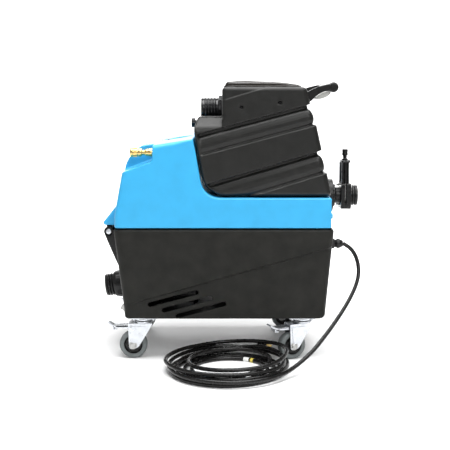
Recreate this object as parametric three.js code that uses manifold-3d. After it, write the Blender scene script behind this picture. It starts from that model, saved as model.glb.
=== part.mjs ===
/*
 * Spot extractor: a small wheeled carpet-cleaning machine.
 *
 * A black tub on four braked swivel casters holds the vacuum, pump and heater. A blue
 * solution tank closes the tub as its hood and tips forward on a hinge. A ribbed black
 * recovery tank sits in the hood's saddle and lifts off. It has a smoked lid, a hose
 * inlet, a carrying handle and a gate valve that dumps the dirty water.
 *
 * Millimetres. X runs along the machine, with the dump valve at +X and the exhaust at -X.
 * Z is up, and the floor is z = 0. The origin is below the middle of the machine.
 */
import * as THREE from "three";
import { mergeVertices } from "three/addons/utils/BufferGeometryUtils.js";
import Module from "manifold-3d";

const wasm = await Module();
wasm.setup();

const GAP = 0.3;
const ROUND = 16;
const DEGREE = Math.PI / 180;

/* ------------------------------------------------------------- driving dimensions */

const TUB = {
  frontTop: -260, frontBottom: -236.5, rearTop: 229.5, rearBottom: 212.5,
  floor: 97, rim: 301, halfWidthTop: 170, halfWidthBottom: 165, wall: 5,
};
const VENT = { start: [-179.6, 129.7], run: [102.8, 27.5], pitch: [31, -13.2], radius: 5, count: 3 };

const HINGE = { x: -275, z: 289, pinRadius: 6, bossRadius: 11, halfSpan: 120, knuckle: 12 };

const HOOD = {
  bottom: 303.5, saddleFloor: 370, rear: 222, front: -257,
  halfWidthBottom: 170, halfWidthTop: 166, wall: 7,
};
const POCKET = { wallX: -171.5, wallY: -100, floorZ: 451, slope: 0.374 };
const SUMP = { axisZ: 359, notchRadius: 42, start: 60, end: 242, radius: 38.5, wall: 5 };
const CATCH = { y: -100, z: 322, radius: 9, reach: 11 };
const FILL = { x: -125, y: 40, radius: 26, recessRadius: 33, recessDepth: 8 };

const TANK = {
  floor: 373, top: 612, shroudFront: -19, halfWidth: 166, wall: 6,
  lid: { front: -10, rear: 158, halfWidth: 100, rise: 17 },
};
const INLET = { z: 560.5, y: 0, tip: -68, radius: 29, bore: 24 };

const HANDLE = { armY: 125, armThickness: 10, barX: 227.7, barZ: 611.6, barRadius: 10.5 };

const VALVE = { pipeRadius: 19, bodyStart: 260.5, bodyEnd: 283.4, outletEnd: 300.7, bore: 15 };

const EXHAUST = { z: 148, reach: 55.5, radius: 27, collarRadius: 31, collarLength: 34, bore: 21 };

const CASTER = {
  trail: 25, wheelRadius: 31.7, wheelHalfWidth: 11, hubRadius: 21, axleRadius: 4,
  cheekOffset: 14.5, cheekThickness: 2.5, plateTop: 96.7, kingpinRadius: 4,
};
const CASTER_PLACES = [
  { name: "front_left", x: -196, y: -130, swivel: 0 },
  { name: "front_right", x: -196, y: 130, swivel: 0 },
  { name: "rear_left", x: 162, y: -130, swivel: 22 },
  { name: "rear_right", x: 162, y: 130, swivel: -22 },
];

const CORD = { radius: 4.5, exitX: 254.4, exitY: -120, exitZ: 262 };
const COIL = { x: -6, y: -238, outer: 134, inner: 76, height: 30 };
const LEAD_ROUTE = [
  [254.8, -120, 262], [262, -120, 261.6], [275, -122, 252], [286, -127, 231], [291.5, -134, 206], [289.5, -141, 189],
  [283.5, -149, 172], [266, -167, 143], [246, -186, 117], [219, -210, 86], [205, -221, 70],
  [180, -240, 44], [153, -262, 25], [135, -277, 18], [110, -297, 14],
];

/* ------------------------------------------------------------------------ colours */

function material(color, roughness, metalness = 0) {
  return () => new THREE.MeshStandardMaterial({ color, roughness, metalness });
}

const BLUE = material(0x35b6ee, 0.35);
const TUB_BLACK = material(0x2f2f2d, 0.6);
const TANK_BLACK = material(0x3a3a39, 0.5);
const PLASTIC_BLACK = material(0x1b1b1b, 0.45);
const SMOKE = material(0x2b2723, 0.2);
const ZINC = material(0xc3c7c9, 0.3, 0.9);
const TYRE_GREY = material(0x777c7d, 0.8);
const BRASS = material(0xcda955, 0.3, 0.9);
const GRIP_GREY = material(0xb9bab8, 0.7);
const CORD_BLACK = material(0x202020, 0.6);
const COPPER = material(0xa6653a, 0.4, 0.8);
const ALUMINIUM = material(0xa9adb0, 0.4, 0.8);

/* --------------------------------------------------------------- solids and shapes */

/** A closed three.js geometry as a solid, with its faces turned outwards. */
function solid(geometry, matrix = new THREE.Matrix4()) {
  const bare = geometry.clone();
  bare.applyMatrix4(matrix);
  bare.deleteAttribute("normal");
  bare.deleteAttribute("uv");
  const merged = mergeVertices(bare, 1e-3);
  const place = merged.attributes.position.array;
  const faces = [];
  let volume = 0;
  for (let i = 0; i < merged.index.count; i += 3) {
    const [a, b, c] = merged.index.array.slice(i, i + 3);
    if (a === b || b === c || c === a) continue;
    faces.push([a, b, c]);
    const [p, q, r] = [a, b, c].map((k) => new THREE.Vector3().fromArray(place, 3 * k));
    volume += p.dot(q.cross(r));
  }
  const outward = volume < 0 ? faces.map(([a, b, c]) => [a, c, b]) : faces;
  return new wasm.Manifold(new wasm.Mesh({
    numProp: 3,
    vertProperties: new Float32Array(place),
    triVerts: new Uint32Array(outward.flat()),
  }));
}

/** The three.js geometry of a finished solid. */
function geometryOf(shape) {
  const mesh = shape.getMesh();
  const geometry = new THREE.BufferGeometry();
  geometry.setAttribute("position", new THREE.BufferAttribute(mesh.vertProperties, 3));
  geometry.setIndex(new THREE.BufferAttribute(mesh.triVerts, 1));
  geometry.computeVertexNormals();
  return geometry;
}

function union(...shapes) {
  return shapes.reduce((whole, next) => whole.add(next));
}

function cut(whole, ...tools) {
  return tools.reduce((left, tool) => left.subtract(tool), whole);
}

/**
 * A closed outline from [u, v] or [u, v, radius] corners. Each corner is rounded by its
 * radius, or by as much of it as its two edges leave room for.
 */
function outline(corners) {
  const shape = new THREE.Shape();
  corners.forEach(([u, v, wanted = 0], i) => {
    const here = new THREE.Vector2(u, v);
    const before = new THREE.Vector2(...corners.at(i - 1).slice(0, 2)).sub(here);
    const after = new THREE.Vector2(...corners[(i + 1) % corners.length].slice(0, 2)).sub(here);
    const radius = Math.min(wanted, 0.48 * before.length(), 0.48 * after.length());
    const enter = here.clone().addScaledVector(before.normalize(), radius);
    const leave = here.clone().addScaledVector(after.normalize(), radius);
    if (i === 0) shape.moveTo(enter.x, enter.y);
    else shape.lineTo(enter.x, enter.y);
    if (radius > 0) shape.quadraticCurveTo(u, v, leave.x, leave.y);
  });
  shape.closePath();
  return shape;
}

function stadium(from, to, radius) {
  const shape = new THREE.Shape();
  const angle = Math.atan2(to[1] - from[1], to[0] - from[0]);
  shape.absarc(to[0], to[1], radius, angle - Math.PI / 2, angle + Math.PI / 2, false);
  shape.absarc(from[0], from[1], radius, angle + Math.PI / 2, angle + 1.5 * Math.PI, false);
  shape.closePath();
  return shape;
}

/** Extrudes an outline drawn in x and z across the machine, from y0 to y1. */
function across(shape, y0, y1, curveSegments = 5) {
  const geometry = new THREE.ExtrudeGeometry(shape, { depth: y1 - y0, bevelEnabled: false, curveSegments });
  const turn = new THREE.Matrix4().makeRotationX(Math.PI / 2);
  return solid(geometry, turn.premultiply(new THREE.Matrix4().makeTranslation(0, y1, 0)));
}

/** Extrudes an outline drawn in y and z along the machine, from x0 to x1. */
function along(shape, x0, x1, curveSegments = 5) {
  const geometry = new THREE.ExtrudeGeometry(shape, { depth: x1 - x0, bevelEnabled: false, curveSegments });
  const turn = new THREE.Matrix4().makeBasis(
    new THREE.Vector3(0, 1, 0), new THREE.Vector3(0, 0, 1), new THREE.Vector3(1, 0, 0));
  return solid(geometry, turn.premultiply(new THREE.Matrix4().makeTranslation(x0, 0, 0)));
}

/** Extrudes an outline drawn in x and y upwards, from z0 to z1. */
function upward(shape, z0, z1, curveSegments = 5) {
  const geometry = new THREE.ExtrudeGeometry(shape, { depth: z1 - z0, bevelEnabled: false, curveSegments });
  return solid(geometry, new THREE.Matrix4().makeTranslation(0, 0, z0));
}

function box(x0, x1, y0, y1, z0, z1) {
  const middle = new THREE.Matrix4().makeTranslation((x0 + x1) / 2, (y0 + y1) / 2, (z0 + z1) / 2);
  return solid(new THREE.BoxGeometry(x1 - x0, y1 - y0, z1 - z0), middle);
}

const TURN_TO = {
  x: new THREE.Matrix4().makeRotationZ(-Math.PI / 2),
  y: new THREE.Matrix4(),
  z: new THREE.Matrix4().makeRotationX(Math.PI / 2),
};

/** A round bar, or a cone where endRadius differs, along one axis from start to end. */
function bar(axis, start, end, centre, radius, endRadius = radius, segments = ROUND) {
  const index = "xyz".indexOf(axis);
  const geometry = new THREE.CylinderGeometry(endRadius, radius, end - start, segments);
  const middle = [...centre];
  middle[index] = (start + end) / 2;
  const matrix = TURN_TO[axis].clone().premultiply(new THREE.Matrix4().makeTranslation(...middle));
  return solid(geometry, matrix);
}

/** A turned ring about a vertical line from closed [radius, height] points. */
function turned(profile, x, y, segments = ROUND) {
  const points = [...profile, profile[0]].map(([radius, height]) => new THREE.Vector2(radius, height));
  const stand = new THREE.Matrix4().makeRotationX(Math.PI / 2);
  stand.premultiply(new THREE.Matrix4().makeTranslation(x, y, 0));
  return solid(new THREE.LatheGeometry(points, segments), stand);
}

const machine = new THREE.Group();

/** Names a finished solid, gives it its material and hangs it in the scene graph. */
function place(name, shape, finish, parent = machine) {
  const mesh = new THREE.Mesh(geometryOf(shape), finish());
  mesh.name = name;
  parent.add(mesh);
  return mesh;
}

/* ----------------------------------------------------------------------------- tub */

function tubBlock(inset, floor, rim) {
  const side = outline([
    [TUB.frontBottom + inset, floor, 9], [TUB.rearBottom - inset, floor, 14],
    [TUB.rearTop - inset, TUB.rim - 6, 8], [TUB.rearTop - 7 - inset, rim],
    [TUB.frontTop + inset, rim],
  ]);
  const end = outline([
    [-TUB.halfWidthBottom + inset, floor, 6], [TUB.halfWidthBottom - inset, floor, 6],
    [TUB.halfWidthTop - inset, rim], [-TUB.halfWidthTop + inset, rim],
  ]);
  return across(side, -TUB.halfWidthTop, TUB.halfWidthTop)
    .intersect(along(end, TUB.frontTop - 1, TUB.rearTop + 1));
}

/** Where the tub's drafted front wall stands at height z. */
function frontWall(z) {
  const draft = (TUB.frontBottom - TUB.frontTop) / (TUB.rim - TUB.floor);
  return TUB.frontTop + draft * (TUB.rim - z);
}

function baseTub() {
  const vents = Array.from({ length: VENT.count }, (_, i) => {
    const from = [VENT.start[0] + i * VENT.pitch[0], VENT.start[1] + i * VENT.pitch[1]];
    const to = [from[0] + VENT.run[0], from[1] + VENT.run[1]];
    return across(stadium(from, to, VENT.radius), -TUB.halfWidthTop - 5, TUB.halfWidthTop + 5);
  });
  const open = tubBlock(TUB.wall, TUB.floor + TUB.wall, TUB.rim + 0.01);
  const exhaustHole = bar("x", TUB.frontTop, TUB.frontBottom + 20, [0, 0, EXHAUST.z], EXHAUST.bore);
  return cut(tubBlock(0, TUB.floor, TUB.rim), open, exhaustHole, ...vents);
}

place("base_tub", baseTub(), TUB_BLACK);

/* -------------------------------------------------------------------- front hinge */

function lowerLeaf() {
  const plateTop = 262;
  const plateBottom = 228;
  const lug = outline([
    [HINGE.x - HINGE.bossRadius + 0.5, HINGE.z - 3], [-277, 264, 20], [-266, 238, 20], [-254, 212],
    [frontWall(212) - GAP, 212], [frontWall(HINGE.z - 4) - GAP, HINGE.z - 4],
  ]);
  const plate = across(outline([
    [frontWall(plateBottom) - 3, plateBottom], [frontWall(plateBottom) - GAP, plateBottom],
    [frontWall(plateTop) - GAP, plateTop], [frontWall(plateTop) - 3, plateTop],
  ]), -HINGE.halfSpan, HINGE.halfSpan);
  const lugs = [-HINGE.halfSpan, HINGE.halfSpan - HINGE.knuckle].map((y) => union(
    across(lug, y, y + HINGE.knuckle),
    bar("y", y, y + HINGE.knuckle, [HINGE.x, 0, HINGE.z], HINGE.bossRadius)));
  const bore = bar("y", -HINGE.halfSpan - 1, HINGE.halfSpan + 1, [HINGE.x, 0, HINGE.z],
    HINGE.pinRadius + GAP + 0.1);
  return cut(union(plate, ...lugs), bore);
}

function upperLeaf() {
  const half = HINGE.halfSpan - HINGE.knuckle - 1.5;
  const barrel = bar("y", -half, half, [HINGE.x, 0, HINGE.z], HINGE.bossRadius - 1.5);
  const web = box(HINGE.x - 6, HINGE.x + 6, -half, half, HINGE.z, HOOD.bottom - GAP);
  const flange = box(HINGE.x - 6, HINGE.x + 13, -half, half, HOOD.bottom - 3, HOOD.bottom - GAP);
  const bore = bar("y", -half - 1, half + 1, [HINGE.x, 0, HINGE.z], HINGE.pinRadius + GAP + 0.1);
  return cut(union(barrel, web, flange), bore);
}

place("hinge_lower_leaf", lowerLeaf(), PLASTIC_BLACK);
place("hinge_upper_leaf", upperLeaf(), PLASTIC_BLACK);
place("hinge_pin", bar("y", -HINGE.halfSpan - 1.5, HINGE.halfSpan + 1.5, [HINGE.x, 0, HINGE.z],
  HINGE.pinRadius), ZINC);

/* -------------------------------------------------- solution tank, which is the hood */

/** The hood's outline seen from the side, with its rounded saddle for the upper tank. */
function hoodOutline() {
  return outline([
    [HOOD.front, HOOD.bottom], [HOOD.rear, HOOD.bottom, 3], [HOOD.rear + 1, HOOD.saddleFloor, 3],
    [-60, HOOD.saddleFloor, 42], [-74.2, 455.8, 20], [-82.5, 499.5, 3], [-168, 486, 10],
    [-209, 480, 18], [-235, 446, 16], [-243, 405, 20], [HOOD.front, 330, 8],
  ]);
}

function sumpNotch(grow) {
  const radius = SUMP.notchRadius + grow;
  const start = SUMP.start - 6 - grow;
  return union(
    bar("x", start, 260, [0, 0, SUMP.axisZ], radius),
    box(start, 260, -radius, radius, SUMP.axisZ, HOOD.saddleFloor + 20));
}

/** The front panel's own frame: it leans back with the hood's front face. */
const PANEL = {
  x: -246, z: 380, lean: 10.5 * DEGREE, halfWidth: 58, halfHeight: 20, thickness: 3,
  rockers: [["rocker_vacuum", -34], ["rocker_pump", 0], ["rocker_heater", 34]],
  rockerHalfWidth: 6.5, rockerHalfHeight: 10, rockerTilt: 7 * DEGREE,
};
const panelFrame = new THREE.Group();
panelFrame.position.set(PANEL.x, 0, PANEL.z);
panelFrame.rotation.y = PANEL.lean;
panelFrame.updateMatrix();
machine.add(panelFrame);

function inPanelFrame(shape) {
  return solid(geometryOf(shape), panelFrame.matrix);
}

function solutionTank() {
  const end = outline([
    [-HOOD.halfWidthBottom, HOOD.bottom], [HOOD.halfWidthBottom, HOOD.bottom],
    [HOOD.halfWidthTop, 505, 10], [-HOOD.halfWidthTop, 505, 10],
  ]);
  const block = across(hoodOutline(), -HOOD.halfWidthBottom, HOOD.halfWidthBottom)
    .intersect(along(end, -300, 300));
  const lip = across(outline([
    [-284, HOOD.bottom, 2], [-250, HOOD.bottom], [-250, 350], [-258, 347, 3], [-288, 309, 3],
  ]), -122, 122);
  const pocket = across(outline([
    [POCKET.wallX, POCKET.floorZ], [POCKET.wallX, 540], [-300, 540],
    [-300, POCKET.floorZ - POCKET.slope * (300 + POCKET.wallX)],
  ]), -190, POCKET.wallY);
  const chamber = across(outline([
    [-232, HOOD.bottom + HOOD.wall, 8], [HOOD.rear - 7, HOOD.bottom + HOOD.wall, 4],
    [HOOD.rear - 7, HOOD.saddleFloor - HOOD.wall, 4], [-64, HOOD.saddleFloor - HOOD.wall, 45],
    [-82, 456, 16], [-90, 488, 8], [-196, 470, 10], [-228, 400, 10],
  ]), -160, 160);
  const pocketLiner = box(-300, POCKET.wallX + 8, -190, POCKET.wallY + 8, 400, 540);
  const cavity = cut(chamber, sumpNotch(6), pocketLiner);
  const fillHole = bar("z", 440, 520, [FILL.x, FILL.y, 0], FILL.radius);
  const fillSeat = bar("z", 491 - FILL.recessDepth, 520, [FILL.x, FILL.y, 0], FILL.recessRadius);
  const fillFloor = bar("z", 471, 491, [FILL.x, FILL.y, 0], FILL.recessRadius + 5);
  const seat = box(-3.5, 20, -PANEL.halfWidth - GAP, PANEL.halfWidth + GAP,
    -PANEL.halfHeight - GAP, PANEL.halfHeight + GAP);
  const wells = PANEL.rockers.map(([, y]) => box(-4, 6.5, y - 8, y + 8, -12, 12));
  const panelSeat = inPanelFrame(cut(seat, box(0, 30, -100, 100, -50, 50)));
  const rockerWells = wells.map(inPanelFrame);
  const catchBoss = bar("x", HOOD.rear - 4, HOOD.rear + CATCH.reach, [0, CATCH.y, CATCH.z],
    CATCH.radius, CATCH.radius - 3);
  const shell = cut(union(block, lip, catchBoss), pocket, cavity);
  return cut(union(shell, fillFloor.intersect(block)), sumpNotch(0), fillHole, fillSeat, panelSeat,
    ...rockerWells);
}

function fillCap() {
  const top = 490;
  const disc = bar("z", 491 - FILL.recessDepth + GAP, top, [FILL.x, FILL.y, 0], FILL.recessRadius - 1.5);
  const plug = bar("z", 474, 491 - FILL.recessDepth + 1, [FILL.x, FILL.y, 0], FILL.radius - 1);
  const gripCuts = [-12, 12].map((y) => box(FILL.x - 22, FILL.x + 22, FILL.y + y - 6, FILL.y + y + 6,
    top - 4, top + 1));
  return cut(union(disc, plug), ...gripCuts);
}

place("solution_tank", solutionTank(), BLUE);
place("fill_cap", fillCap(), PLASTIC_BLACK);

/* ------------------------------------------------------- control panel and rockers */

function controlPanel() {
  const plate = box(-3, -GAP, -PANEL.halfWidth, PANEL.halfWidth, -PANEL.halfHeight, PANEL.halfHeight);
  const windows = PANEL.rockers.map(([, y]) => box(-10, 10,
    y - PANEL.rockerHalfWidth - 0.5, y + PANEL.rockerHalfWidth + 0.5,
    -PANEL.rockerHalfHeight - 1, PANEL.rockerHalfHeight + 1));
  return cut(plate, ...windows);
}

/** A rocker pressed in at its lower end. Its pivot is the panel frame's own y axis. */
function rocker(y) {
  const { rockerHalfWidth: w, rockerHalfHeight: h, rockerTilt: tilt } = PANEL;
  const profile = outline([[-2.5, 0], [-4.5, h, 1], [2, h, 1], [3, 0], [2, -h, 1], [-4.5, -h, 1]]);
  const shape = across(profile, y - w, y + w, 2);
  return solid(geometryOf(shape), new THREE.Matrix4().makeRotationY(tilt));
}

place("control_panel", controlPanel(), PLASTIC_BLACK, panelFrame);
PANEL.rockers.forEach(([name, y]) => place(name, rocker(y), PLASTIC_BLACK, panelFrame));

/* ------------------------------------------------------------ brass quick coupler */

const COUPLER = { y: -140, z: 469, back: POCKET.wallX - GAP, tip: -222 };

function couplerBody() {
  const centre = [0, COUPLER.y, COUPLER.z];
  const hexagon = bar("x", -180, COUPLER.back, centre, 10, 10, 6);
  const neck = bar("x", -207, -179, centre, 5.5);
  const shoulder = bar("x", -188, -180, centre, 8);
  const bore = bar("x", -208, -185, centre, 3.5);
  return cut(union(hexagon, neck, shoulder), bore);
}

/** The sprung sleeve, which slides back along the neck to free a hose. */
function couplerSleeve() {
  const centre = [0, COUPLER.y, COUPLER.z];
  const shell = union(
    bar("x", COUPLER.tip, -196, centre, 9.5),
    bar("x", COUPLER.tip + 2, COUPLER.tip + 6, centre, 10.4));
  return cut(shell, bar("x", COUPLER.tip - 1, -195, centre, 5.5 + GAP + 0.1));
}

place("coupler_body", couplerBody(), BRASS);
place("coupler_sleeve", couplerSleeve(), BRASS);

/* --------------------------------------------------------------- recovery tank */

/** The tank's outline seen from the side: its rear steps out and in with the ribs. */
function tankOutline() {
  return outline([
    [-24, TANK.floor, 6], [220, TANK.floor, 3], [212, 425, 3], [202, 428, 2], [206, 450, 10],
    [194, 475, 4], [199.5, 482, 2], [189, 528, 3], [178, 532, 3], [181, 552, 12], [167, 573, 3],
    [170, 595, 10], [158, TANK.top, 10], [TANK.shroudFront, TANK.top, 2],
    [TANK.shroudFront, 526], [-60, 525, 12], [-81, 521, 10], [-78.5, 502], [-70.5, 456, 20],
    [-60, 396, 22],
  ]);
}

function handleChannel(side) {
  const inner = side * (HANDLE.armY - HANDLE.armThickness / 2 - 2);
  const outer = side * (HANDLE.armY + HANDLE.armThickness / 2 + 2);
  const slope = outline([[84, 536], [240, 604], [240, 660], [84, 660]]);
  return across(slope, Math.min(inner, outer), Math.max(inner, outer));
}

function recoveryTank() {
  const half = TANK.halfWidth;
  const end = outline([
    [-half + 6, TANK.floor, 8], [half - 6, TANK.floor, 8], [half, 470], [half - 2, TANK.top + 5, 12],
    [-half + 2, TANK.top + 5, 12], [-half, 470],
  ]);
  const block = across(tankOutline(), -half, half).intersect(along(end, -300, 300));
  const belly = bar("x", SUMP.start, SUMP.end, [0, 0, SUMP.axisZ], SUMP.radius);
  const chamber = union(
    across(outline([
      [-14, TANK.floor + TANK.wall, 6], [205, TANK.floor + TANK.wall, 4], [186, 462], [168, 560],
      [150, 595, 8], [150, 603], [0, 603, 6], [0, 516, 8], [-66, 512, 10], [-62, 456, 20], [-50, 400, 20],
    ]), -half + 12, half - 12),
    bar("x", SUMP.start + SUMP.wall, SUMP.end - 8, [0, 0, SUMP.axisZ], SUMP.radius - SUMP.wall),
    box(SUMP.start + SUMP.wall, 205, -SUMP.radius + 10, SUMP.radius - 10, SUMP.axisZ, 385));
  const sidePockets = [-1, 1].map((side) => {
    const inner = side * (HANDLE.armY - 13);
    return across(outline([[78, 528], [240, 598], [240, 660], [78, 660]]),
      Math.min(inner, side * 200), Math.max(inner, side * 200));
  });
  const mouth = box(TANK.lid.front + 14, TANK.lid.rear - 16, -TANK.lid.halfWidth + 8,
    TANK.lid.halfWidth - 8, 590, 640);
  const inletHole = bar("x", -30, 5, [0, INLET.y, INLET.z], INLET.bore);
  const drainHole = bar("x", SUMP.end - 20, SUMP.end + 5, [0, 0, SUMP.axisZ], VALVE.bore);
  const hollow = cut(chamber, ...sidePockets);
  return cut(union(block, belly), hollow, mouth, inletHole, drainHole,
    handleChannel(-1), handleChannel(1));
}

/** The vacuum hose's threaded inlet, screwed to the front of the tank's shroud. */
function inletPort() {
  const centre = [0, INLET.y, INLET.z];
  const face = TANK.shroudFront - GAP;
  const pipe = bar("x", INLET.tip, face, centre, INLET.radius - 2);
  const ridges = Array.from({ length: 3 }, (_, i) => {
    const x = INLET.tip + 1 + i * 10;
    return bar("x", x, x + 6, centre, INLET.radius);
  });
  const flange = bar("x", face - 7, face, centre, INLET.radius + 4, INLET.radius + 4, 8);
  return cut(union(pipe, flange, ...ridges), bar("x", INLET.tip - 1, face + 1, centre, INLET.bore));
}

const FLOAT = { x: 100, y: 0, pipeY: 48, ballRadius: 15, cageRadius: 19, seatZ: 556, rest: 492 };

/** The vacuum's standpipe: up the tank, across, and down into the float's cage. */
function standpipe() {
  const foot = TANK.floor + TANK.wall + GAP;
  const riser = bar("z", foot, 585, [FLOAT.x, FLOAT.pipeY, 0], 18);
  const bridge = box(FLOAT.x - 14, FLOAT.x + 14, FLOAT.y - 14, FLOAT.pipeY, FLOAT.seatZ, 585);
  const cage = bar("z", FLOAT.rest - 8, FLOAT.seatZ + 2, [FLOAT.x, FLOAT.y, 0], FLOAT.cageRadius);
  const riserBore = bar("z", foot - 1, 580, [FLOAT.x, FLOAT.pipeY, 0], 14);
  const bridgeBore = box(FLOAT.x - 10, FLOAT.x + 10, FLOAT.y - 6, FLOAT.pipeY, FLOAT.seatZ + 6, 580);
  const seatBore = bar("z", FLOAT.seatZ - 8, FLOAT.seatZ + 10, [FLOAT.x, FLOAT.y, 0], 10);
  const cageBore = bar("z", FLOAT.rest - 4, FLOAT.seatZ - 6, [FLOAT.x, FLOAT.y, 0], FLOAT.ballRadius + 1);
  const drain = bar("z", FLOAT.rest - 10, FLOAT.rest, [FLOAT.x, FLOAT.y, 0], 9);
  const windows = [
    box(FLOAT.x - 30, FLOAT.x + 30, FLOAT.y - 7, FLOAT.y + 7, FLOAT.rest, FLOAT.seatZ - 14),
    box(FLOAT.x - 7, FLOAT.x + 7, FLOAT.y - 30, FLOAT.y + 25, FLOAT.rest, FLOAT.seatZ - 14),
  ];
  return cut(union(riser, bridge, cage), riserBore, bridgeBore, seatBore, cageBore, drain, ...windows);
}

function floatBall() {
  const ball = new THREE.SphereGeometry(FLOAT.ballRadius, 14, 8);
  const height = FLOAT.rest - 4 + FLOAT.ballRadius + GAP;
  return solid(ball, new THREE.Matrix4().makeTranslation(FLOAT.x, FLOAT.y, height));
}

/** The smoked lid: a shallow dome on a flat rim, its crown nearer the front. */
function tankLid() {
  const { front, rear, halfWidth, rise } = TANK.lid;
  const bottom = TANK.top + GAP;
  const crown = (lift) => outline([
    [front, bottom], [rear, bottom], [rear, bottom + 2], [110, bottom + rise * 0.66 - lift, 60],
    [30, bottom + rise - lift, 26], [front + 4, bottom + rise * 0.72 - lift, 14],
  ]);
  const plan = upward(outline([
    [front, -halfWidth, 24], [rear, -halfWidth, 24], [rear, halfWidth, 24], [front, halfWidth, 24],
  ]), bottom - 1, bottom + 40);
  const innerPlan = upward(outline([
    [front + 6, -halfWidth + 6, 20], [rear - 10, -halfWidth + 6, 20],
    [rear - 10, halfWidth - 6, 20], [front + 6, halfWidth - 6, 20],
  ]), bottom - 1, bottom + 40);
  const inside = across(crown(3.5), -halfWidth, halfWidth).intersect(innerPlan);
  return cut(across(crown(0), -halfWidth, halfWidth).intersect(plan), inside);
}

function latchKnob() {
  const centre = [0, 0, 530];
  const stem = bar("x", -84, -81.4, centre, 5);
  const grip = bar("x", -90, -83.5, centre, 11, 11, 12);
  return union(stem, grip);
}

place("recovery_tank", recoveryTank(), TANK_BLACK);
place("vacuum_inlet_port", inletPort(), PLASTIC_BLACK);
place("standpipe", standpipe(), PLASTIC_BLACK);
place("float_ball", floatBall(), GRIP_GREY);
place("tank_lid", tankLid(), SMOKE);
place("tank_latch_knob", latchKnob(), PLASTIC_BLACK);

/* ------------------------------------------------------------------ carrying handle */

/** Two flat arms and a round bar, which stands out behind the tank's top. */
function carryHandle() {
  const arm = outline([
    [90, 544], [178, 580], [206, 593, 12], [HANDLE.barX + 2, HANDLE.barZ - 9, 6],
    [HANDLE.barX, HANDLE.barZ + 10, 6], [193, 613, 10], [168, 601], [90, 566],
  ]);
  const arms = [-1, 1].map((side) => {
    const y = side * HANDLE.armY - HANDLE.armThickness / 2;
    return across(arm, y, y + HANDLE.armThickness);
  });
  const bolts = [-1, 1].flatMap((side) => [104, 140].map((x) => {
    const z = 555 + (x - 90) * 0.41;
    const start = side > 0 ? HANDLE.armY + 4 : -HANDLE.armY - 6.7;
    return bar("y", start, start + 2.7, [x, 0, z], 5, 5, 12);
  }));
  const grip = bar("y", -HANDLE.armY - 5, HANDLE.armY + 5, [HANDLE.barX, 0, HANDLE.barZ], HANDLE.barRadius);
  return union(grip, ...arms, ...bolts);
}

/** A soft palm pad of oval section, held between the arms below the bar. */
function gripPad() {
  const half = HANDLE.armY - HANDLE.armThickness / 2 - GAP;
  const oval = new THREE.Shape();
  oval.absellipse(206, 594, 17, 6, 0, 2 * Math.PI, false, 22 * DEGREE);
  return across(oval, -half, half, 8);
}

place("carry_handle", carryHandle(), PLASTIC_BLACK);
place("handle_grip_pad", gripPad(), GRIP_GREY);

/* ------------------------------------------------------------------------ dump valve */

const VALVE_TOP = { bonnetStart: 264, bonnetEnd: 278, bonnetTop: 442, halfWidth: 30, bladeX: 271 };

function dumpValvePipe() {
  const centre = [0, 0, SUMP.axisZ];
  const pipe = union(
    bar("x", SUMP.end + GAP, VALVE.bodyStart - GAP, centre, VALVE.pipeRadius),
    bar("x", SUMP.end + GAP, SUMP.end + 5, centre, 27));
  return cut(pipe, bar("x", SUMP.end - 1, VALVE.bodyStart + 1, centre, VALVE.bore));
}

function dumpValveBody() {
  const centre = [0, 0, SUMP.axisZ];
  const { bonnetStart, bonnetEnd, bonnetTop, halfWidth, bladeX } = VALVE_TOP;
  const block = along(outline([
    [-halfWidth, 328.5, 9], [halfWidth, 328.5, 9], [halfWidth, 388.5, 4], [-halfWidth, 388.5, 4],
  ]), VALVE.bodyStart, VALVE.bodyEnd);
  const bonnet = along(outline([
    [-halfWidth + 4, 380], [halfWidth - 4, 380], [halfWidth - 4, bonnetTop, 4], [-halfWidth + 4, bonnetTop, 4],
  ]), bonnetStart, bonnetEnd);
  const slot = box(bladeX - 1.6, bladeX + 1.6, -22, 22, 333, bonnetTop - 3);
  const rodHole = bar("z", 384, bonnetTop + 2, [bladeX, 0, 0], 3.6, 3.6, 16);
  const bore = bar("x", VALVE.bodyStart - 1, VALVE.bodyEnd + 1, centre, VALVE.bore);
  const screws = [-1, 1].flatMap((side) => [335, 382].map((z) => (
    bar("x", VALVE.bodyStart - 6, VALVE.bodyStart + 1, [0, side * 23, z], 4.2, 4.2, 10))));
  return cut(union(block, bonnet, ...screws), slot, rodHole, bore);
}

function dumpValveBlade() {
  const { bladeX } = VALVE_TOP;
  const blade = along(outline([[-20, 336, 19], [20, 336, 19], [20, 388], [-20, 388]]),
    bladeX - 1, bladeX + 1);
  const rod = bar("z", 386, 452, [bladeX, 0, 0], 3, 3, 12);
  return union(blade, rod);
}

function dumpValveKnob() {
  const { bladeX } = VALVE_TOP;
  const centre = [bladeX, 0, 0];
  const knob = union(
    bar("z", 446, 454, centre, 5.5, 5.5, 16),
    bar("z", 453, 468, centre, 7.5, 7.5, 16));
  return cut(knob, bar("z", 440, 452 + GAP, centre, 3 + GAP, 3 + GAP, 12));
}

function dumpValveOutlet() {
  const centre = [0, 0, SUMP.axisZ];
  const pipe = bar("x", VALVE.bodyEnd + GAP, VALVE.outletEnd, centre, 21);
  const rings = [288, 294].map((x) => bar("x", x, x + 4, centre, 24.5));
  const lipRing = bar("x", VALVE.outletEnd - 3, VALVE.outletEnd, centre, 24);
  return cut(union(pipe, lipRing, ...rings), bar("x", 280, 310, centre, VALVE.bore + 2));
}

place("dump_valve_pipe", dumpValvePipe(), PLASTIC_BLACK);
place("dump_valve_body", dumpValveBody(), PLASTIC_BLACK);
place("dump_valve_blade", dumpValveBlade(), ZINC);
place("dump_valve_knob", dumpValveKnob(), PLASTIC_BLACK);
place("dump_valve_outlet", dumpValveOutlet(), PLASTIC_BLACK);

/* ---------------------------------------------------------------------- exhaust port */

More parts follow.
